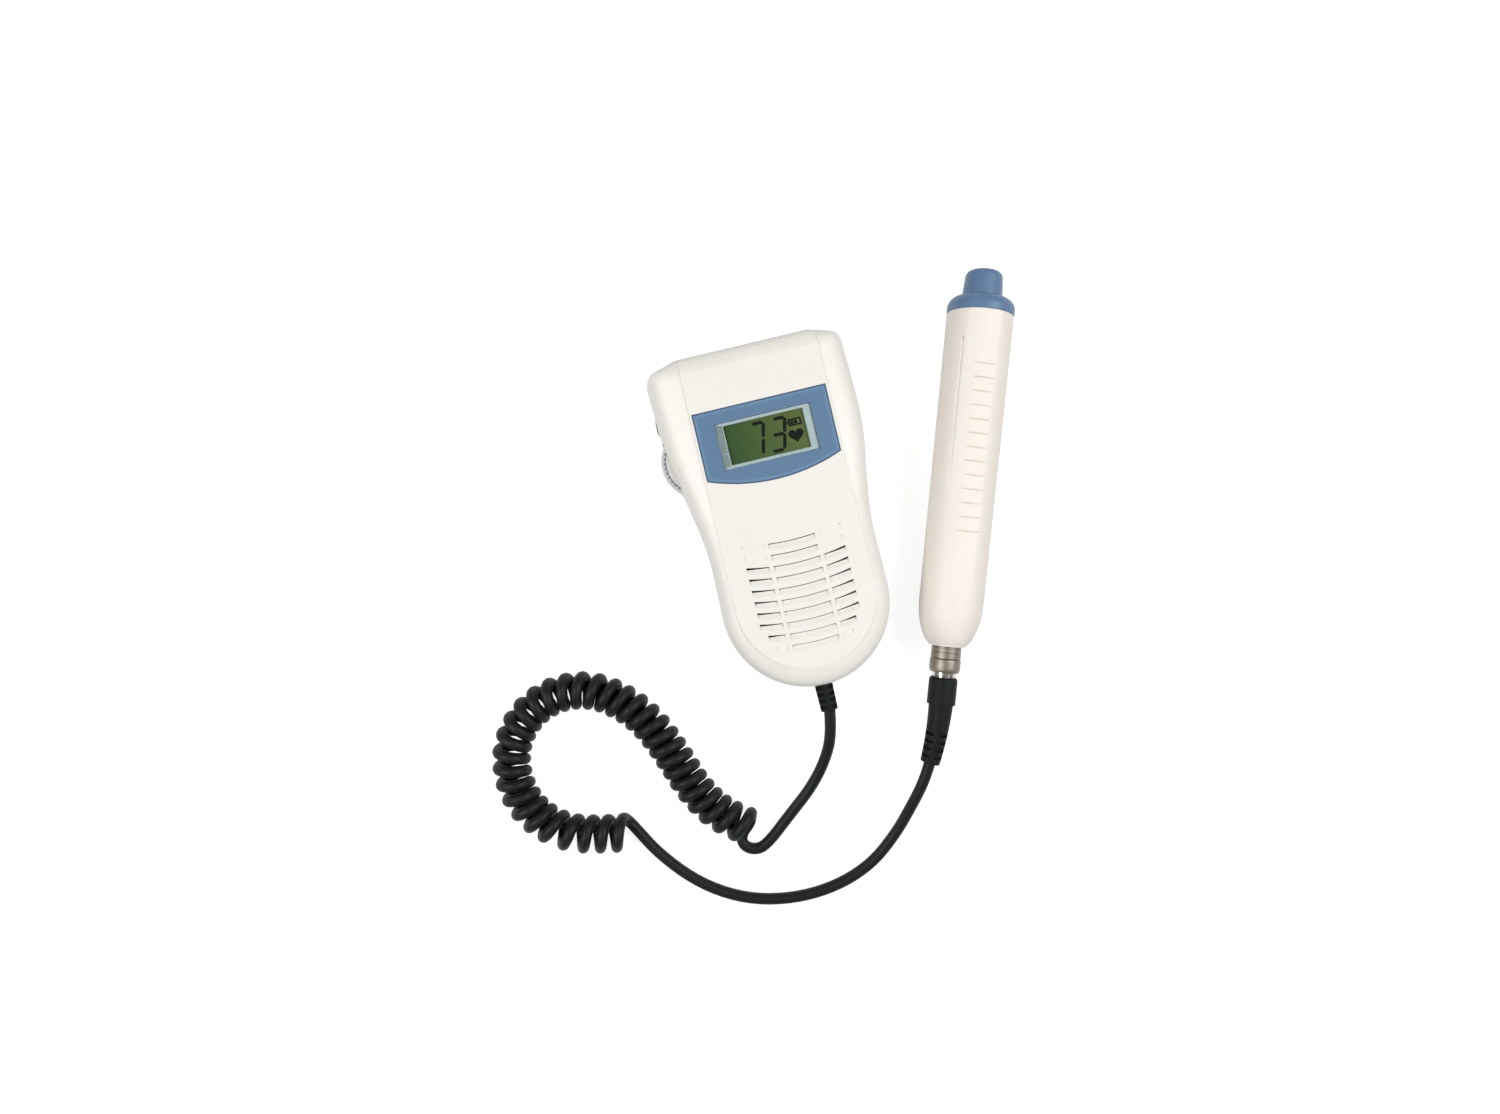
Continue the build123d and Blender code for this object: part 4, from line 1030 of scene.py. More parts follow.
@dataclass
class Reading:
    """Dark figures and signs in the liquid crystal, in millimetres."""

    z: float = 32.6
    thick: float = 0.06
    low_y: float = 23.3
    height: float = 11.6
    width: float = 4.6
    stroke: float = 1.25
    slant: float = 13.0
    stroke_gap: float = 0.12
    # Places of the two figures and of the signs
    tens_x: float = -6.0
    ones_x: float = 2.1
    heart_spot: Point = (10.7, 27.0)
    heart_w: float = 5.8
    battery_spot: Point = (11.2, 32.3)

    def stroke_points(self, start: Vector, end: Vector) -> list[Point]:
        """Gives the six corners of one pointed stroke.

        Args:
            start: the stroke's first end.
            end: its other end.

        Returns:
            The corners in order.
        """
        along = (end - start).normalized()
        side = Vector((-along.y, along.x)) * self.stroke / 2
        tip = along * self.stroke / 2
        gap = along * self.stroke_gap
        first, last = start + gap, end - gap
        corners = [first, first + tip + side, last - tip + side, last, last - tip - side, first + tip - side]
        return [(corner.x, corner.y) for corner in corners]

    def figure(self, bm: bmesh.types.BMesh, left: float, strokes: str) -> None:
        """Adds one figure.

        Args:
            bm: the mesh.
            left: its left edge.
            strokes: letters of the strokes that show, a to g.
        """
        w, h = self.width, self.height
        nodes = {
            "a": ((0, h), (w, h)),
            "b": ((w, h), (w, h / 2)),
            "c": ((w, h / 2), (w, 0)),
            "d": ((0, 0), (w, 0)),
            "g": ((0, h / 2), (w, h / 2)),
        }
        lean = sin(radians(self.slant)) / cos(radians(self.slant))
        for name in strokes:
            ends = [Vector((left + x + (y - h / 2) * lean, self.low_y + y)) for x, y in nodes[name]]
            prism(bm, self.stroke_points(*ends), self.z, self.z + self.thick)

    def heart(self, bm: bmesh.types.BMesh, x: float, y: float, size: float) -> None:
        """Adds a heart.

        Args:
            bm: the mesh.
            x: its middle across.
            y: its middle along.
            size: its width.
        """
        points = []
        for step in range(40):
            a = 2 * pi * step / 40
            across = 16 * sin(a) ** 3
            up = 13 * cos(a) - 5 * cos(2 * a) - 2 * cos(3 * a) - cos(4 * a)
            points.append((x + across * size / 33, y + (up + 2.5) * size / 33))
        prism(bm, points, self.z, self.z + self.thick)

    def battery(self, bm: bmesh.types.BMesh, x: float, y: float) -> None:
        """Adds a battery sign: a frame, its pole and two bars.

        Args:
            bm: the mesh.
            x: its middle across.
            y: its middle along.
        """
        half, rise, line = 2.4, 1.4, 0.6
        boxes = [
            ((-half, half), (rise - line, rise)),
            ((-half, half), (-rise, -rise + line)),
            ((half - line, half), (-rise, rise)),
            ((-half, -half + line), (-rise, rise)),
            ((-half - 0.45, -half), (-0.5, 0.5)),
            ((-1.65, -0.5), (-0.68, 0.68)),
            ((-0.3, 0.85), (-0.68, 0.68)),
        ]
        for (left, right), (low, high) in boxes:
            add_box(bm, (x + left, x + right), (y + low, y + high), (self.z, self.z + self.thick))

    def make(self) -> None:
        """Makes the reading 73, the battery sign and the heart."""
        figures = bmesh.new()
        self.figure(figures, self.tens_x, "abc")
        self.figure(figures, self.ones_x, "abgcd")
        settle(finish_mesh(figures, "reading"), Body.UNIT, SEGMENT_INK)
        signs = bmesh.new()
        self.heart(signs, *self.heart_spot, self.heart_w)
        self.battery(signs, *self.battery_spot)
        settle(finish_mesh(signs, "signs"), Body.UNIT, SEGMENT_INK)


@dataclass
class Dial:
    """Volume dial at the left side, in millimetres."""

    x: float = -27.0
    y: float = 27.6
    radius: float = 12.9
    face_r: float = 12.1
    face_t: float = 0.8
    flange_r: float = 14.1
    flange_t: float = 2.1
    low: float = 18.5
    high: float = 23.1
    bore: float = 2.55
    ribs: int = 44
    rib_depth: float = 0.6
    slot: Bar = (17.9, 23.7, 14.6, SEGMENTS)

    @staticmethod
    def place() -> Matrix:
        """Gives the dial's place in the unit."""
        return Matrix.Translation((Dial.x, Dial.y, 0))

    def wheel(self) -> None:
        """Makes the ribbed wheel on its pale flange."""
        ribbed = []
        for step in range(self.ribs * 4):
            a = 2 * pi * step / (self.ribs * 4)
            r = self.radius - (self.rib_depth if step % 4 in (2, 3) else 0.0)
            ribbed.append((r * cos(a), r * sin(a)))
        rim = place_mesh(prism(bmesh.new(), ribbed, self.low + 0.5, self.high), self.place())
        wheel = finish_mesh(rim, "dial_rim")
        carve(wheel, place_mesh(rod(self.high - self.face_t, self.high + 1, self.face_r), self.place()))
        carve(wheel, place_mesh(rod(self.low - 1, self.high, self.bore, 48), self.place()))
        soften(wheel, 0.08, 1, 50.0)
        # The wheel's grey-blue is painted shade of the knurl's notches
        settle(wheel, Body.DIAL, KNURL_NOTCH_SHADE, ["volume_dial"])

    def flange(self) -> None:
        """Makes the pale flange under the wheel."""
        top = self.low + self.flange_t
        step_r = self.radius - self.rib_depth - 0.2
        profile = [(self.low, self.bore), (self.low, self.flange_r - 0.3), (self.low + 0.3, self.flange_r)]
        profile += [(top - 0.4, self.flange_r), (top, self.flange_r - 0.4), (top, step_r)]
        profile += [(self.low + 0.6, step_r), (self.low + 0.6, self.bore), (self.low, self.bore)]
        flange = turned("dial_flange", profile, self.place())
        settle(flange, Body.DIAL, ABS_WHITE, ["volume_dial"])

    def disc(self) -> None:
        """Makes the white disc let into the wheel."""
        edge, dimple = 0.2, 0.15
        profile = [(self.high - self.face_t, 0), (self.high - self.face_t, self.face_r)]
        profile += [(self.high - edge, self.face_r), (self.high, self.face_r - edge), (self.high, 1.6)]
        profile += [(self.high - dimple, 1.3), (self.high - dimple, 0)]
        disc = turned("dial_disc", profile, self.place())
        settle(disc, Body.DIAL, ABS_WHITE, ["dial_face"])


@dataclass
class Fasteners:
    """Case screws with cross recesses, in millimetres."""

    head_r: float = 2.4
    low: float = 2.2
    seat: float = 3.8
    end: float = 26.0
    shaft_r: float = 1.25
    cross_half: float = 1.4
    cross_w: float = 0.56

    def make(self) -> None:
        """Makes the four screws."""
        profile = [
            (self.low, 0),
            (self.low, self.head_r - 0.5),
            (self.low + 0.15, self.head_r - 0.15),
            (self.low + 0.6, self.head_r),
            (self.seat, self.head_r),
            (self.seat, self.shaft_r),
            (self.end - 0.8, self.shaft_r),
            (self.end, 0.3),
            (self.end, 0),
        ]
        long, short = self.cross_half, self.cross_w / 2
        for number, (x, y) in enumerate(SCREWS, 1):
            screw = turned(f"screw_{number}", profile, Matrix.Translation((x, y, 0)), 40)
            cross = bmesh.new()
            for half_x, half_y in ((long, short), (short, long)):
                add_box(cross, (x - half_x, x + half_x), (y - half_y, y + half_y), (1.0, self.low + 0.8))
            carve(screw, cross)
            soften(screw, 0.05, 1, 40.0)
            settle(screw, Body.UNIT, ZINC, [f"case_screw_{number}"])


# Probe and plug


@dataclass
class ProbeLine:
    """Line that the probe and its plug lie on, in millimetres."""

    start: Place = (49.8, -63.3, 13.05)

    def matrix(self) -> Matrix:
        """Gives the place whose X is left, Y is up and Z runs towards the tip.

        Returns:
            The place.
        """
        c, s = cos(TURN), sin(TURN)
        turn = Matrix(((-c, 0, s), (s, 0, c), (0, 1, 0))).to_4x4()
        return Matrix.Translation(self.start) @ turn

    def point(self, along: float) -> Vector:
        """Gives the point of the line at a distance."""
        return Vector(self.start) + Vector(PROBE_WAY) * along


@dataclass
class Probe:
    """Pencil probe: body with grip steps and side line, blue head, cast face and socket, in millimetres."""

    line: ProbeLine
    body_l: float = 128.3
    body_r: float = 12.75
    cable_r: float = 12.3
    round_l: float = 17.0
    round_r: float = 7.2
    # Hollow of the body and seat of the socket's nut
    inner_r: float = 10.9
    bore_r: float = 5.85
    nut_r: float = 6.75
    nut_low: float = 3.0
    nut_high: float = 15.2
    # Blue head, from its spigot in the body to the rounded tip with the cast face
    spigot_r: float = 10.75
    spigot_l: float = 6.0
    collar_r: float = 12.88
    collar_l: float = 2.2
    shoulder: float = 4.5
    shoulder_drop: float = 5.1
    tip_l: float = 10.4
    tip_r: float = 7.7
    tip_end_r: float = 7.15
    tip_round: float = 2.7
    head_bore: float = 4.0
    seat_r: float = 4.35
    lens_r: float = 4.2
    lens_t: float = 1.0
    # Steps of the grip
    ribs: int = 13
    rib_pitch: float = 5.28
    rib_first: float = 39.2
    rib_half: float = 3.9
    rib_turn: float = 6.0
    rib_depth: float = 0.72
    # Side line with its dot
    groove_start: float = 117.0
    groove_l: float = 58.0
    groove_turn: float = 36.0

    def radius(self, along: float) -> float:
        """Gives the body's radius at a distance, which grows a little towards the tip."""
        share = (along - self.round_l) / (self.body_l - self.round_l)
        return self.cable_r + (self.body_r - self.cable_r) * share

    def body(self) -> None:
        """Makes the white body with its grip steps and side line."""
        reach = self.round_l / sqrt(1 - (self.round_r / self.cable_r) ** 2)
        profile = [(0.0, self.bore_r), (0.0, self.round_r - 0.5), (0.12, self.round_r - 0.12)]
        for step in range(15):
            back = self.round_l * (1 - step / 14) ** 1.5
            along = self.round_l - back + (0.5 if step == 0 else 0)
            profile.append((along, self.cable_r * sqrt(1 - (back / reach) ** 2)))
        profile += [(60.0, self.radius(60.0)), (self.body_l - 0.3, self.body_r), (self.body_l, self.body_r - 0.3)]
        profile += [(self.body_l, self.inner_r), (self.nut_high, self.inner_r), (self.nut_high, self.nut_r)]
        profile += [(self.nut_low, self.nut_r), (self.nut_low, self.bore_r), (0.0, self.bore_r)]
        place = self.line.matrix()
        piece = turned("probe_barrel", profile, place, 128)
        for tool in (self.grip(), self.side_line(), self.dot()):
            carve(piece, place_mesh(tool, place))
        soften(piece, 0.1, 2, 25.0)
        settle(piece, Body.PROBE, ABS_PROBE, ["probe_body"])

    def grip(self) -> bmesh.types.BMesh:
        """Makes the tool of the grip: one shallow hollow per step, deepest at its step.

        Returns:
            The tool.
        """
        bm = bmesh.new()
        for rib in range(self.ribs):
            near = self.rib_first + rib * self.rib_pitch
            far = near + self.rib_pitch
            top = self.radius(far)
            floor = top - self.rib_depth
            section = [(near + 0.02, top + 2), (near + 0.02, top - 0.08), (far - 0.5, floor + 0.08)]
            section += [(far - 0.15, floor - 0.4), (far, floor - 0.4), (far, top + 2)]
            corners = [(-self.rib_half, up, along) for along, up in section]
            draw_face(bm, corners, (2 * self.rib_half, 0, 0))
        turn = Matrix.Rotation(radians(self.rib_turn), 3, "Z")
        bmesh.ops.rotate(bm, cent=(0, 0, 0), matrix=turn, verts=bm.verts)
        return bm

    def side_line(self) -> bmesh.types.BMesh:
        """Makes the tool of the side line: a groove from its dot on that widens and fades.

        Returns:
            The tool.
        """
        rings = []
        for step in range(9):
            t = step / 8
            along = self.groove_start - self.groove_l * t
            half = 0.5 + 0.6 * t
            depth = 0.75 * (1 - t) + 0.05
            top = self.radius(along)
            ring = [(-half, top + 1), (-half * 0.3, top - depth), (half, top - 0.01), (half, top + 1)]
            rings.append([Vector((x, y, along)) for x, y in ring])
        bm = skin_rings(bmesh.new(), rings)
        bmesh.ops.rotate(bm, cent=(0, 0, 0), matrix=self.aside(), verts=bm.verts)
        return bm

    def aside(self) -> Matrix:
        """Gives the turn from the top to the side line."""
        return Matrix.Rotation(radians(-self.groove_turn), 3, "Z")

    def dot(self) -> bmesh.types.BMesh:
        """Makes the tool of the dot at the side line's start.

        Returns:
            The tool.
        """
        top = self.radius(self.groove_start)
        bm = lathe([(top - 0.8, 0), (top - 0.8, 0.45), (top - 0.4, 0.6), (top + 1, 0.6), (top + 1, 0)], 24)
        upright = Matrix.Translation((0, 0, self.groove_start)) @ Matrix.Rotation(-pi / 2, 4, "X")
        return place_mesh(bm, self.aside().to_4x4() @ upright)

    def head(self) -> None:
        """Makes the blue head."""
        collar = self.body_l + self.collar_l
        tip = collar + self.shoulder
        end = tip + self.tip_l
        back = self.body_l - self.spigot_l
        profile = [(back, self.head_bore), (back, self.spigot_r), (self.body_l, self.spigot_r)]
        profile += [(self.body_l, self.collar_r - 0.3), (self.body_l + 0.3, self.collar_r)]
        for step in range(11):
            a = pi / 2 * step / 10
            profile.append((collar + self.shoulder * sin(a), self.collar_r - self.shoulder_drop * (1 - cos(a))))
        profile += [(tip, self.tip_r + 0.25), (tip + 0.25, self.tip_r)]
        for step in range(9):
            a = pi / 2 * step / 8
            profile.append((end - self.tip_round * (1 - sin(a)), self.tip_end_r - self.tip_round * (1 - cos(a))))
        seat = end - self.lens_t
        profile += [(end, self.seat_r), (seat, self.seat_r), (seat, self.head_bore), (back, self.head_bore)]
        piece = turned("probe_cap", profile, self.line.matrix(), 128)
        settle(piece, Body.PROBE, NYLON_BLUE, ["probe_head"])

    def face(self) -> None:
        """Makes the cast face at the tip."""
        end = self.body_l + self.collar_l + self.shoulder + self.tip_l
        low, edge = end - self.lens_t, 0.15
        profile = [(low, 0), (low, self.lens_r), (end - edge, self.lens_r), (end, self.lens_r - edge), (end, 0)]
        piece = turned("probe_lens", profile, self.line.matrix(), 64)
        settle(piece, Body.PROBE, LENS_BLUE, ["transducer_face"])

    def socket(self) -> None:
        """Makes the nickel socket that stands out of the cable end, with its two grooves."""
        bore, rim, out, end = 4.05, 5.7, -4.9, 9.5
        profile = [(out, bore), (out, 5.5), (-4.75, 5.65), (-4.3, rim)]
        profile += [(-2.6, rim), (-2.5, 5.55), (-2.3, 5.55), (-2.2, rim)]
        profile += [(-0.9, rim), (-0.8, 5.5), (-0.4, 5.5), (-0.3, rim)]
        profile += [(end, rim), (end, bore), (out, bore)]
        piece = turned("socket_barrel", profile, self.line.matrix())
        settle(piece, Body.PROBE, NICKEL, ["probe_socket"])


def windows(places: Iterable[float], radius: float, turn: float = 45.0) -> bmesh.types.BMesh:
    """Makes the tool of a sleeve's windows, four round it at each place along local Z.

    Args:
        places: middles of the rows.
        radius: the sleeve's radius there.
        turn: degrees from the top to the first window.

    Returns:
        The tool.
    """
    bm = bmesh.new()
    for along in places:
        ring_of_blocks(bm, (1.1 * radius, 3.0, 1.3), (radius + 0.25, along), 4, turn)
    return bm


@dataclass
class Plug:
    """Plug on the cord's end, in millimetres."""

    line: ProbeLine
    sleeve_end: float = -10.3
    socket_out: float = 4.9
    boot_start: float = -12.2
    boot_l: float = 10.6
    relief_l: float = 23.0
    bend: float = 4.6
    dip: float = 1.6

    def sleeve(self) -> Object:
        """Makes the release sleeve, waisted behind its front edge.

        Returns:
            The finished piece.
        """
        start, end, bore = self.sleeve_end, -self.socket_out - 0.1, 4.52
        profile = [(start, bore), (start, 5.2), (start + 0.3, 5.55), (start + 1.0, 5.82), (start + 2.0, 5.9)]
        profile += [(end - 0.7, 5.9), (end - 0.2, 5.8), (end, 5.6), (end, bore), (start, bore)]
        piece = turned("latch_sleeve", profile, self.line.matrix())
        return settle(piece, Body.SLEEVE, NICKEL, ["release_sleeve"])

    def barrel(self) -> Object:
        """Makes the plug's metal barrel with its slotted bright neck.

        Returns:
            The finished piece.
        """
        back, front, bore = self.boot_start - 1.5, 4.1, 3.25
        profile = [(back, bore), (back, 4.2), (self.boot_start + 0.15, 4.2), (self.boot_start + 0.35, 4.45)]
        profile += [(-5.0, 4.45), (-5.0, 4.0), (front - 0.3, 4.0), (front, 3.8), (front, bore), (back, bore)]
        piece = turned("plug_shell", profile, self.line.matrix(), 80)
        slots = bmesh.new()
        ring_of_blocks(slots, (0.75, 0.9, 1.5), (4.5, -11.35), 6, 4.0)
        carve(piece, place_mesh(slots, self.line.matrix()))
        return settle(piece, Body.UNIT, NICKEL_BRIGHT, ["plug_barrel"])

    def boot(self) -> Object:
        """Makes the boot.

        Returns:
            The finished piece.
        """
        start, end = self.boot_start, self.boot_start - self.boot_l
        seat_r, bore = 4.2, 3.0
        profile = [(start, seat_r), (start, 4.7), (start - 0.25, 5.1), (start - 0.7, 5.35), (start - 1.3, 5.45)]
        profile += [(end + 0.35, 5.45), (end + 0.1, 5.35), (end, 5.1), (end, bore)]
        profile += [(start - 2.0, bore), (start - 2.0, seat_r), (start, seat_r)]
        piece = turned("plug_grip", profile, self.line.matrix())
        return settle(piece, Body.UNIT, RUBBER, ["plug_boot"])

    def bent(self, along: float) -> Vector:
        """Gives a point of the bent sleeve's middle line.

        Args:
            along: the distance from the sleeve's start.

        Returns:
            The point.
        """
        back = -Vector(PROBE_WAY)
        aside = Vector((back.y, -back.x, 0.0))
        t = along / self.relief_l
        away = aside * (self.relief_l * t * t * sin(radians(self.bend)))
        down = Vector((0, 0, 1)) * (self.relief_l * t * t * sin(radians(self.dip)))
        return self.line.point(self.boot_start - self.boot_l) + back * along + away - down

    def relief(self) -> Object:
        """Makes the tapered bending sleeve with its rows of windows.

        Returns:
            The finished piece.
        """
        length, thick_r, taper = self.relief_l, 4.65, 0.85
        profile = [(0.0, 0.0), (0.0, thick_r)]
        profile += [(0.5 + (length - 1.0) * step / 22, thick_r - taper * step / 22) for step in range(23)]
        profile += [(length - 0.1, 3.7), (length, 3.4), (length, 0.0)]
        piece = finish_mesh(lathe(profile, 64), "bending_sleeve")
        carve(piece, windows([11.4 + 2.9 * row for row in range(4)], 4.0, 35.0))
        soften(piece, 0.12, 2, 40.0)
        self.bend_mesh(piece)
        return settle(piece, Body.UNIT, RUBBER, ["plug_relief"])

    def bend_mesh(self, piece: Object) -> None:
        """Lays a straight sleeve along the bent line.

        Args:
            piece: the sleeve, made along the local Z axis.
        """
        for vertex in piece.data.vertices:
            along = vertex.co.z / MM
            way = (self.bent(along + 0.1) - self.bent(along - 0.1)).normalized()
            side = way.cross(Vector((0, 0, 1))).normalized()
            up = side.cross(way)
            spot = self.bent(along) + side * (vertex.co.x / MM) + up * (vertex.co.y / MM)
            vertex.co = spot * MM


# Cord


@dataclass
class Cord:
    """Free cord from the unit to the plug, with its curls, in millimetres."""

    plug: Plug
    diameter: float = 4.5
    coil_od: float = 15.1
    curls: float = 33.75
    # Stretches at the coil's two ends where its curls stand wider apart, and by what share
    loose_l: Point = (10.0, 30.0)
    loose: float = 0.18
    # Share of the coil's radius by which the curls crowd on the inner side of a bend
    inside: float = 0.7
    steps: int = 12
    axis: tuple[Point, ...] = (
        (-40.9, -115.3), (-50.0, -109.3), (-58.3, -96.9), (-63.6, -80.9),
        (-69.8, -66.0), (-78.2, -55.6), (-89.2, -48.1), (-102.7, -46.5),
        (-115.3, -51.3), (-124.3, -61.4), (-127.1, -74.5), (-124.6, -86.4),
        (-118.5, -95.3), (-109.7, -101.6), (-97.1, -104.9), (-89.6, -106.0),
    )
    unit_run: tuple[Place, ...] = (
        (0.0, -77.2, 12.0), (-1.3, -86.0, 11.0), (-5.5, -96.0, 7.0),
        (-13.5, -106.5, 3.5), (-24.5, -115.5, 2.25), (-36.8, -125.6, 2.25),
        (-42.2, -125.8, 2.25), (-45.8, -122.6, 2.25), (-44.9, -118.4, 2.25),
    )
    probe_run: tuple[Place, ...] = (
        (-88.5, -101.0, 5.1), (-87.65, -102.6, 3.2), (-85.9, -105.8, 2.25),
        (-78.8, -118.95, 2.25), (-65.8, -134.0, 2.25), (-49.5, -144.2, 2.25),
        (-31.0, -148.5, 2.25), (-13.0, -147.6, 2.25), (2.5, -142.2, 2.25),
        (14.4, -132.6, 3.0), (22.0, -122.8, 7.5),
    )
    length: float = 1385.0

    def add_spline(self, name: str, points: Sequence[Vector]) -> bpy.types.Curve:
        """Makes a curve of one smooth spline.

        Args:
            name: the curve's name.
            points: its control points in millimetres.

        Returns:
            The curve.
        """
        curve = bpy.data.curves.new(name, "CURVE")
        curve.dimensions = "3D"
        spline = curve.splines.new("NURBS")
        spline.points.add(len(points) - 1)
        for control, point in zip(spline.points, points):
            control.co = (*(point * MM), 1.0)
        spline.order_u = 3
        spline.use_endpoint_u = True
        return curve

    def axis_line(self) -> list[Vector]:
        """Reads the coil's smooth middle line.

        Returns:
            Its points in millimetres.
        """
        curve = self.add_spline("coil_axis", [Vector((x, y, self.coil_od / 2)) for x, y in self.axis])
        curve.splines[0].resolution_u = 24
        guide = bpy.data.objects.new("coil_axis", curve)
        mesh = bpy.data.meshes.new_from_object(guide)
        line = [vertex.co / MM for vertex in mesh.vertices]
        bpy.data.meshes.remove(mesh)
        bpy.data.objects.remove(guide)
        bpy.data.curves.remove(curve)
        return line

    def curls_points(self) -> list[Vector]:
        """Winds the curls round the coil's middle line, denser in its bends and looser at its ends.

        Returns:
            The control points in millimetres.
        """
        line = self.axis_line()
        radius = (self.coil_od - self.diameter) / 2
        steps = [after - before for before, after in zip(line, line[1:])]
        lengths = [step.length for step in steps]
        ways = [step.normalized() for step in steps]
        ways.append(ways[-1])
        room = [0.0]
        done = 0.0
        for length, way, onward in zip(lengths, ways, ways[1:]):
            done += length
            slack = self.loose if done < self.loose_l[0] or sum(lengths) - done < self.loose_l[1] else 0.0
            room.append(room[-1] + length * (1 - slack) - self.inside * radius * abs(way.angle(onward)))
        # The cord's spline runs inside its control points, so these lie a little further out
        outer = radius / (0.75 + 0.25 * cos(2 * pi / self.steps))
        points = []
        spot = 0
        for step in range(round(self.curls * self.steps) + 1):
            turns = step / self.steps
            wanted = turns / self.curls * room[-1]
            while spot < len(room) - 2 and room[spot + 1] < wanted:
                spot += 1
            share = (wanted - room[spot]) / (room[spot + 1] - room[spot])
            middle = line[spot].lerp(line[spot + 1], share)
            way = ways[spot].lerp(ways[spot + 1], share)
            right = Vector((way.y, -way.x, 0.0)).normalized()
            angle = radians(270) + 2 * pi * turns
            points.append(middle + right * (outer * cos(angle)) + Vector((0, 0, outer * sin(angle))))
        return points

    def points(self) -> list[Vector]:
        """Gives the control points of the whole cord.

        Returns:
            The points from the unit to the plug, in millimetres.
        """
        end = self.plug.bent(self.plug.relief_l)
        way = (end - self.plug.bent(self.plug.relief_l - 1.0)).normalized()
        runs = [[Vector(point) for point in run] for run in (self.unit_run, self.probe_run)]
        return runs[0] + self.curls_points() + runs[1] + [end + way * 7.0, end - way * 0.4]

    def make(self, pieces: Sequence[Union[Object, str]]) -> None:
        """Makes the cord as one smooth tube.

        Args:
            pieces: the pieces on its far end, or their nodes; not used.
        """
        curve = self.add_spline("curly_cord", self.points())
        curve.splines[0].resolution_u = 5
        curve.bevel_depth = self.diameter / 2 * MM
        curve.bevel_resolution = 4
        curve.use_fill_caps = True
        piece = bpy.data.objects.new("curly_cord", curve)
        bpy.context.scene.collection.objects.link(piece)
        settle(piece, Body.UNIT, JACKET, ["cord_unit_side", "cord_coil", "cord_probe_side"])
        tuple(Vector(self.unit_run[0]) * MM)

    def sleeve(self) -> None:
        """Makes the sleeve at the unit."""
        profile = [(61.0, 0.0), (61.0, 4.7), (62.3, 4.7), (62.3, 3.55), (66.2, 3.55)]
        profile += [(76.9, 3.32), (77.1, 3.2), (77.2, 2.95), (77.2, 0.0)]
        piece = finish_mesh(lathe(profile, 64), "cord_sleeve")
        carve(piece, windows([67.9 + 2.5 * row for row in range(4)], 3.4))
        soften(piece, 0.1, 2, 40.0)
        piece.data.transform(Matrix.Translation((0, 0, Housing.exit_z * MM)) @ Matrix.Rotation(pi / 2, 4, "X"))
        settle(piece, Body.UNIT, RUBBER, ["unit_strain_relief"])


# Whole object


@dataclass
class Doppler:
    """The whole object on its frame."""

    frame: dict

    def dress_solids(self) -> None:
        """Gives every solid that stays its finish."""
        finishes = {
            "display_window": GlassFinish(),
            "lcd_glass": ScreenFinish(),
            "lcd_holder": NYLON_GREY,
            "main_board": MASK,
            "signal_chip": EPOXY,
            "power_module": EPOXY,
            "audio_module": EPOXY,
            "speaker_frame": STEEL_DARK,
            "speaker_cone": PAPER,
            "speaker_magnet": ZINC,
            "volume_control": NYLON_GREY,
            "earphone_jack": NICKEL_PLAIN,
            "battery_left": WRAP,
            "battery_right": WRAP,
            "battery_contact_low": NICKEL_PLAIN,
            "battery_contact_high": NICKEL_PLAIN,
            "plug_insert": NYLON_CREAM,
            "socket_nut": NICKEL_PLAIN,
            "socket_insert": NYLON_CREAM,
            "crystal_left": CERAMIC,
            "crystal_right": CERAMIC,
            "probe_board": MASK,
        }
        for node, finish in finishes.items():
            dress(self.frame["nodes"][node], finish)

    def build(self) -> None:
        """Builds every piece in order."""
        housing = Housing()
        for make in (housing.front, housing.rear, housing.door, housing.label, housing.border):
            make()
        Reading().make()
        dial = Dial()
        for make in (dial.wheel, dial.flange, dial.disc):
            make()
        Fasteners().make()
        line = ProbeLine()
        probe = Probe(line)
        for make in (probe.body, probe.head, probe.face, probe.socket):
            make()
        plug = Plug(line)
        on_cord = [make() for make in (plug.sleeve, plug.barrel, plug.boot, plug.relief)]
        cord = Cord(plug)
        cord.sleeve()
        cord.make(on_cord + ["plug_insert"])
        self.dress_solids()


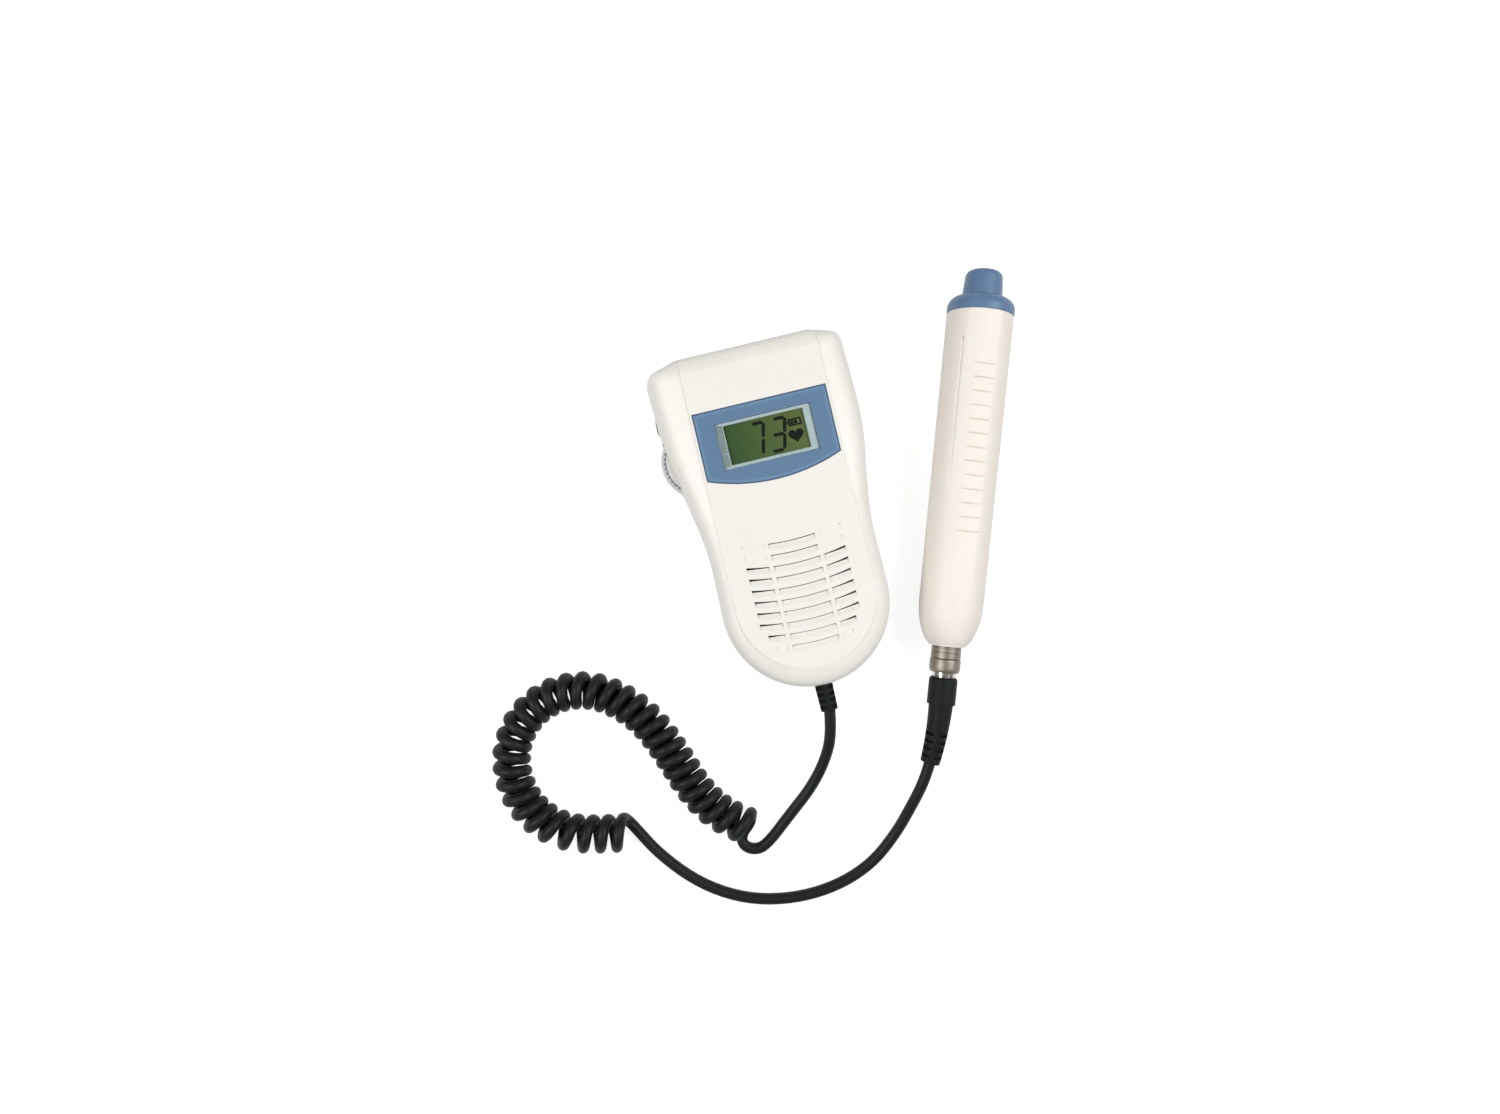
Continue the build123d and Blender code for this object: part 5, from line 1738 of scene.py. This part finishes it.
@dataclass
class Studio:
    """Pale floor, soft lamps and the camera."""

    centre: Place = (-0.0163, -0.0123, 0.0)
    height: float = 0.4
    up: Place = (0.232, 0.973, 0.0)
    lens: float = 24.0
    floor_z: float = -0.08
    floor_shade: str = "9C9C9C"
    floor_lift: float = 0.84
    fill: float = 0.3

    def floor(self) -> None:
        """Lays the floor, which shows white with the object's soft shadow."""
        bm = bmesh.new()
        bmesh.ops.create_grid(bm, x_segments=1, y_segments=1, size=3000.0)
        bmesh.ops.translate(bm, vec=(0, 0, self.floor_z), verts=bm.verts)
        floor = finish_mesh(bm, "floor")
        material, tree = new_tree("pale floor")
        place = add_node(tree, "TexCoord").outputs["Object"]
        cloud = add_node(tree, "TexNoise", values={"Scale": 9.0}, links={0: place})
        gloss = add_node(tree, "MapRange", values={3: 0.85, 4: 0.95}, links={0: cloud.outputs[0]})
        path = add_node(tree, "LightPath")
        seen = path.outputs["Is Camera Ray"]
        for ray in ("Is Glossy Ray", "Is Transmission Ray"):
            seen = add_node(tree, "Math", {"operation": "MAXIMUM"}, links={0: seen, 1: path.outputs[ray]}).outputs[0]
        lift = add_node(tree, "Math", {"operation": "MULTIPLY"}, {1: self.floor_lift}, {0: seen})
        values = {"Base Color": linear(self.floor_shade), "Specular IOR Level": 0.1, "Emission Color": WHITE}
        links = {"Roughness": gloss.outputs[0], "Emission Strength": lift.outputs[0]}
        matt = add_node(tree, "BsdfPrincipled", values=values, links=links)
        add_node(tree, "OutputMaterial", links={0: matt.outputs[0]})
        floor.data.materials.append(material)

    def world(self) -> None:
        """Sets an even pale world, which the camera sees white."""
        world = bpy.data.worlds.new("studio")
        bpy.context.scene.world = world
        world.use_nodes = True
        tree = world.node_tree
        tree.nodes.clear()
        path = add_node(tree, "LightPath")
        fill = add_node(tree, "Background", values={0: WHITE, 1: self.fill})
        white = add_node(tree, "Background", values={0: WHITE, 1: 1.0})
        links = {0: path.outputs["Is Camera Ray"], 1: fill.outputs[0], 2: white.outputs[0]}
        mix = add_node(tree, "MixShader", links=links)
        add_node(tree, "OutputWorld", links={0: mix.outputs[0]})

    def lamp(self, name: str, spot: Place, size: float, power: float) -> None:
        """Adds one soft lamp that looks at the object.

        Args:
            name: its name.
            spot: its place in metres.
            size: its width in metres.
            power: its power in watts.
        """
        data = bpy.data.lights.new(name, "AREA")
        data.shape = "DISK"
        data.size = size
        data.energy = power
        lamp = bpy.data.objects.new(name, data)
        lamp.location = spot
        lamp.rotation_euler = (Vector(self.centre) - Vector(spot)).to_track_quat("-Z", "Y").to_euler()
        bpy.context.scene.collection.objects.link(lamp)

    def camera(self) -> None:
        """Sets the camera straight above the table, turned as the photograph is."""
        data = bpy.data.cameras.new("camera")
        data.lens = self.lens
        data.sensor_width = 36.0
        data.clip_start = 0.01
        camera = bpy.data.objects.new("camera", data)
        up = Vector(self.up).normalized()
        back = Vector((0.0, 0.0, 1.0))
        right = up.cross(back)
        turn = Matrix((right, up, back)).transposed().to_4x4()
        camera.matrix_world = Matrix.Translation((self.centre[0], self.centre[1], self.height)) @ turn
        bpy.context.scene.collection.objects.link(camera)
        bpy.context.scene.camera = camera

    def make(self) -> None:
        """Sets the whole stage."""
        self.floor()
        self.world()
        self.lamp("right", (0.58, -0.05, 0.72), 0.4, 4.6)
        self.lamp("left", (-0.62, 0.04, 0.72), 0.4, 4.5)
        self.camera()
        bpy.context.scene.view_settings.view_transform = "Standard"


def main() -> None:
    """Builds the object on the frame and sets the stage."""
    logging.basicConfig(level=logging.INFO, format="%(message)s")
    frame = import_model()
    Doppler(frame).build()
    Studio().make()


if __name__ == "__main__":
    main()
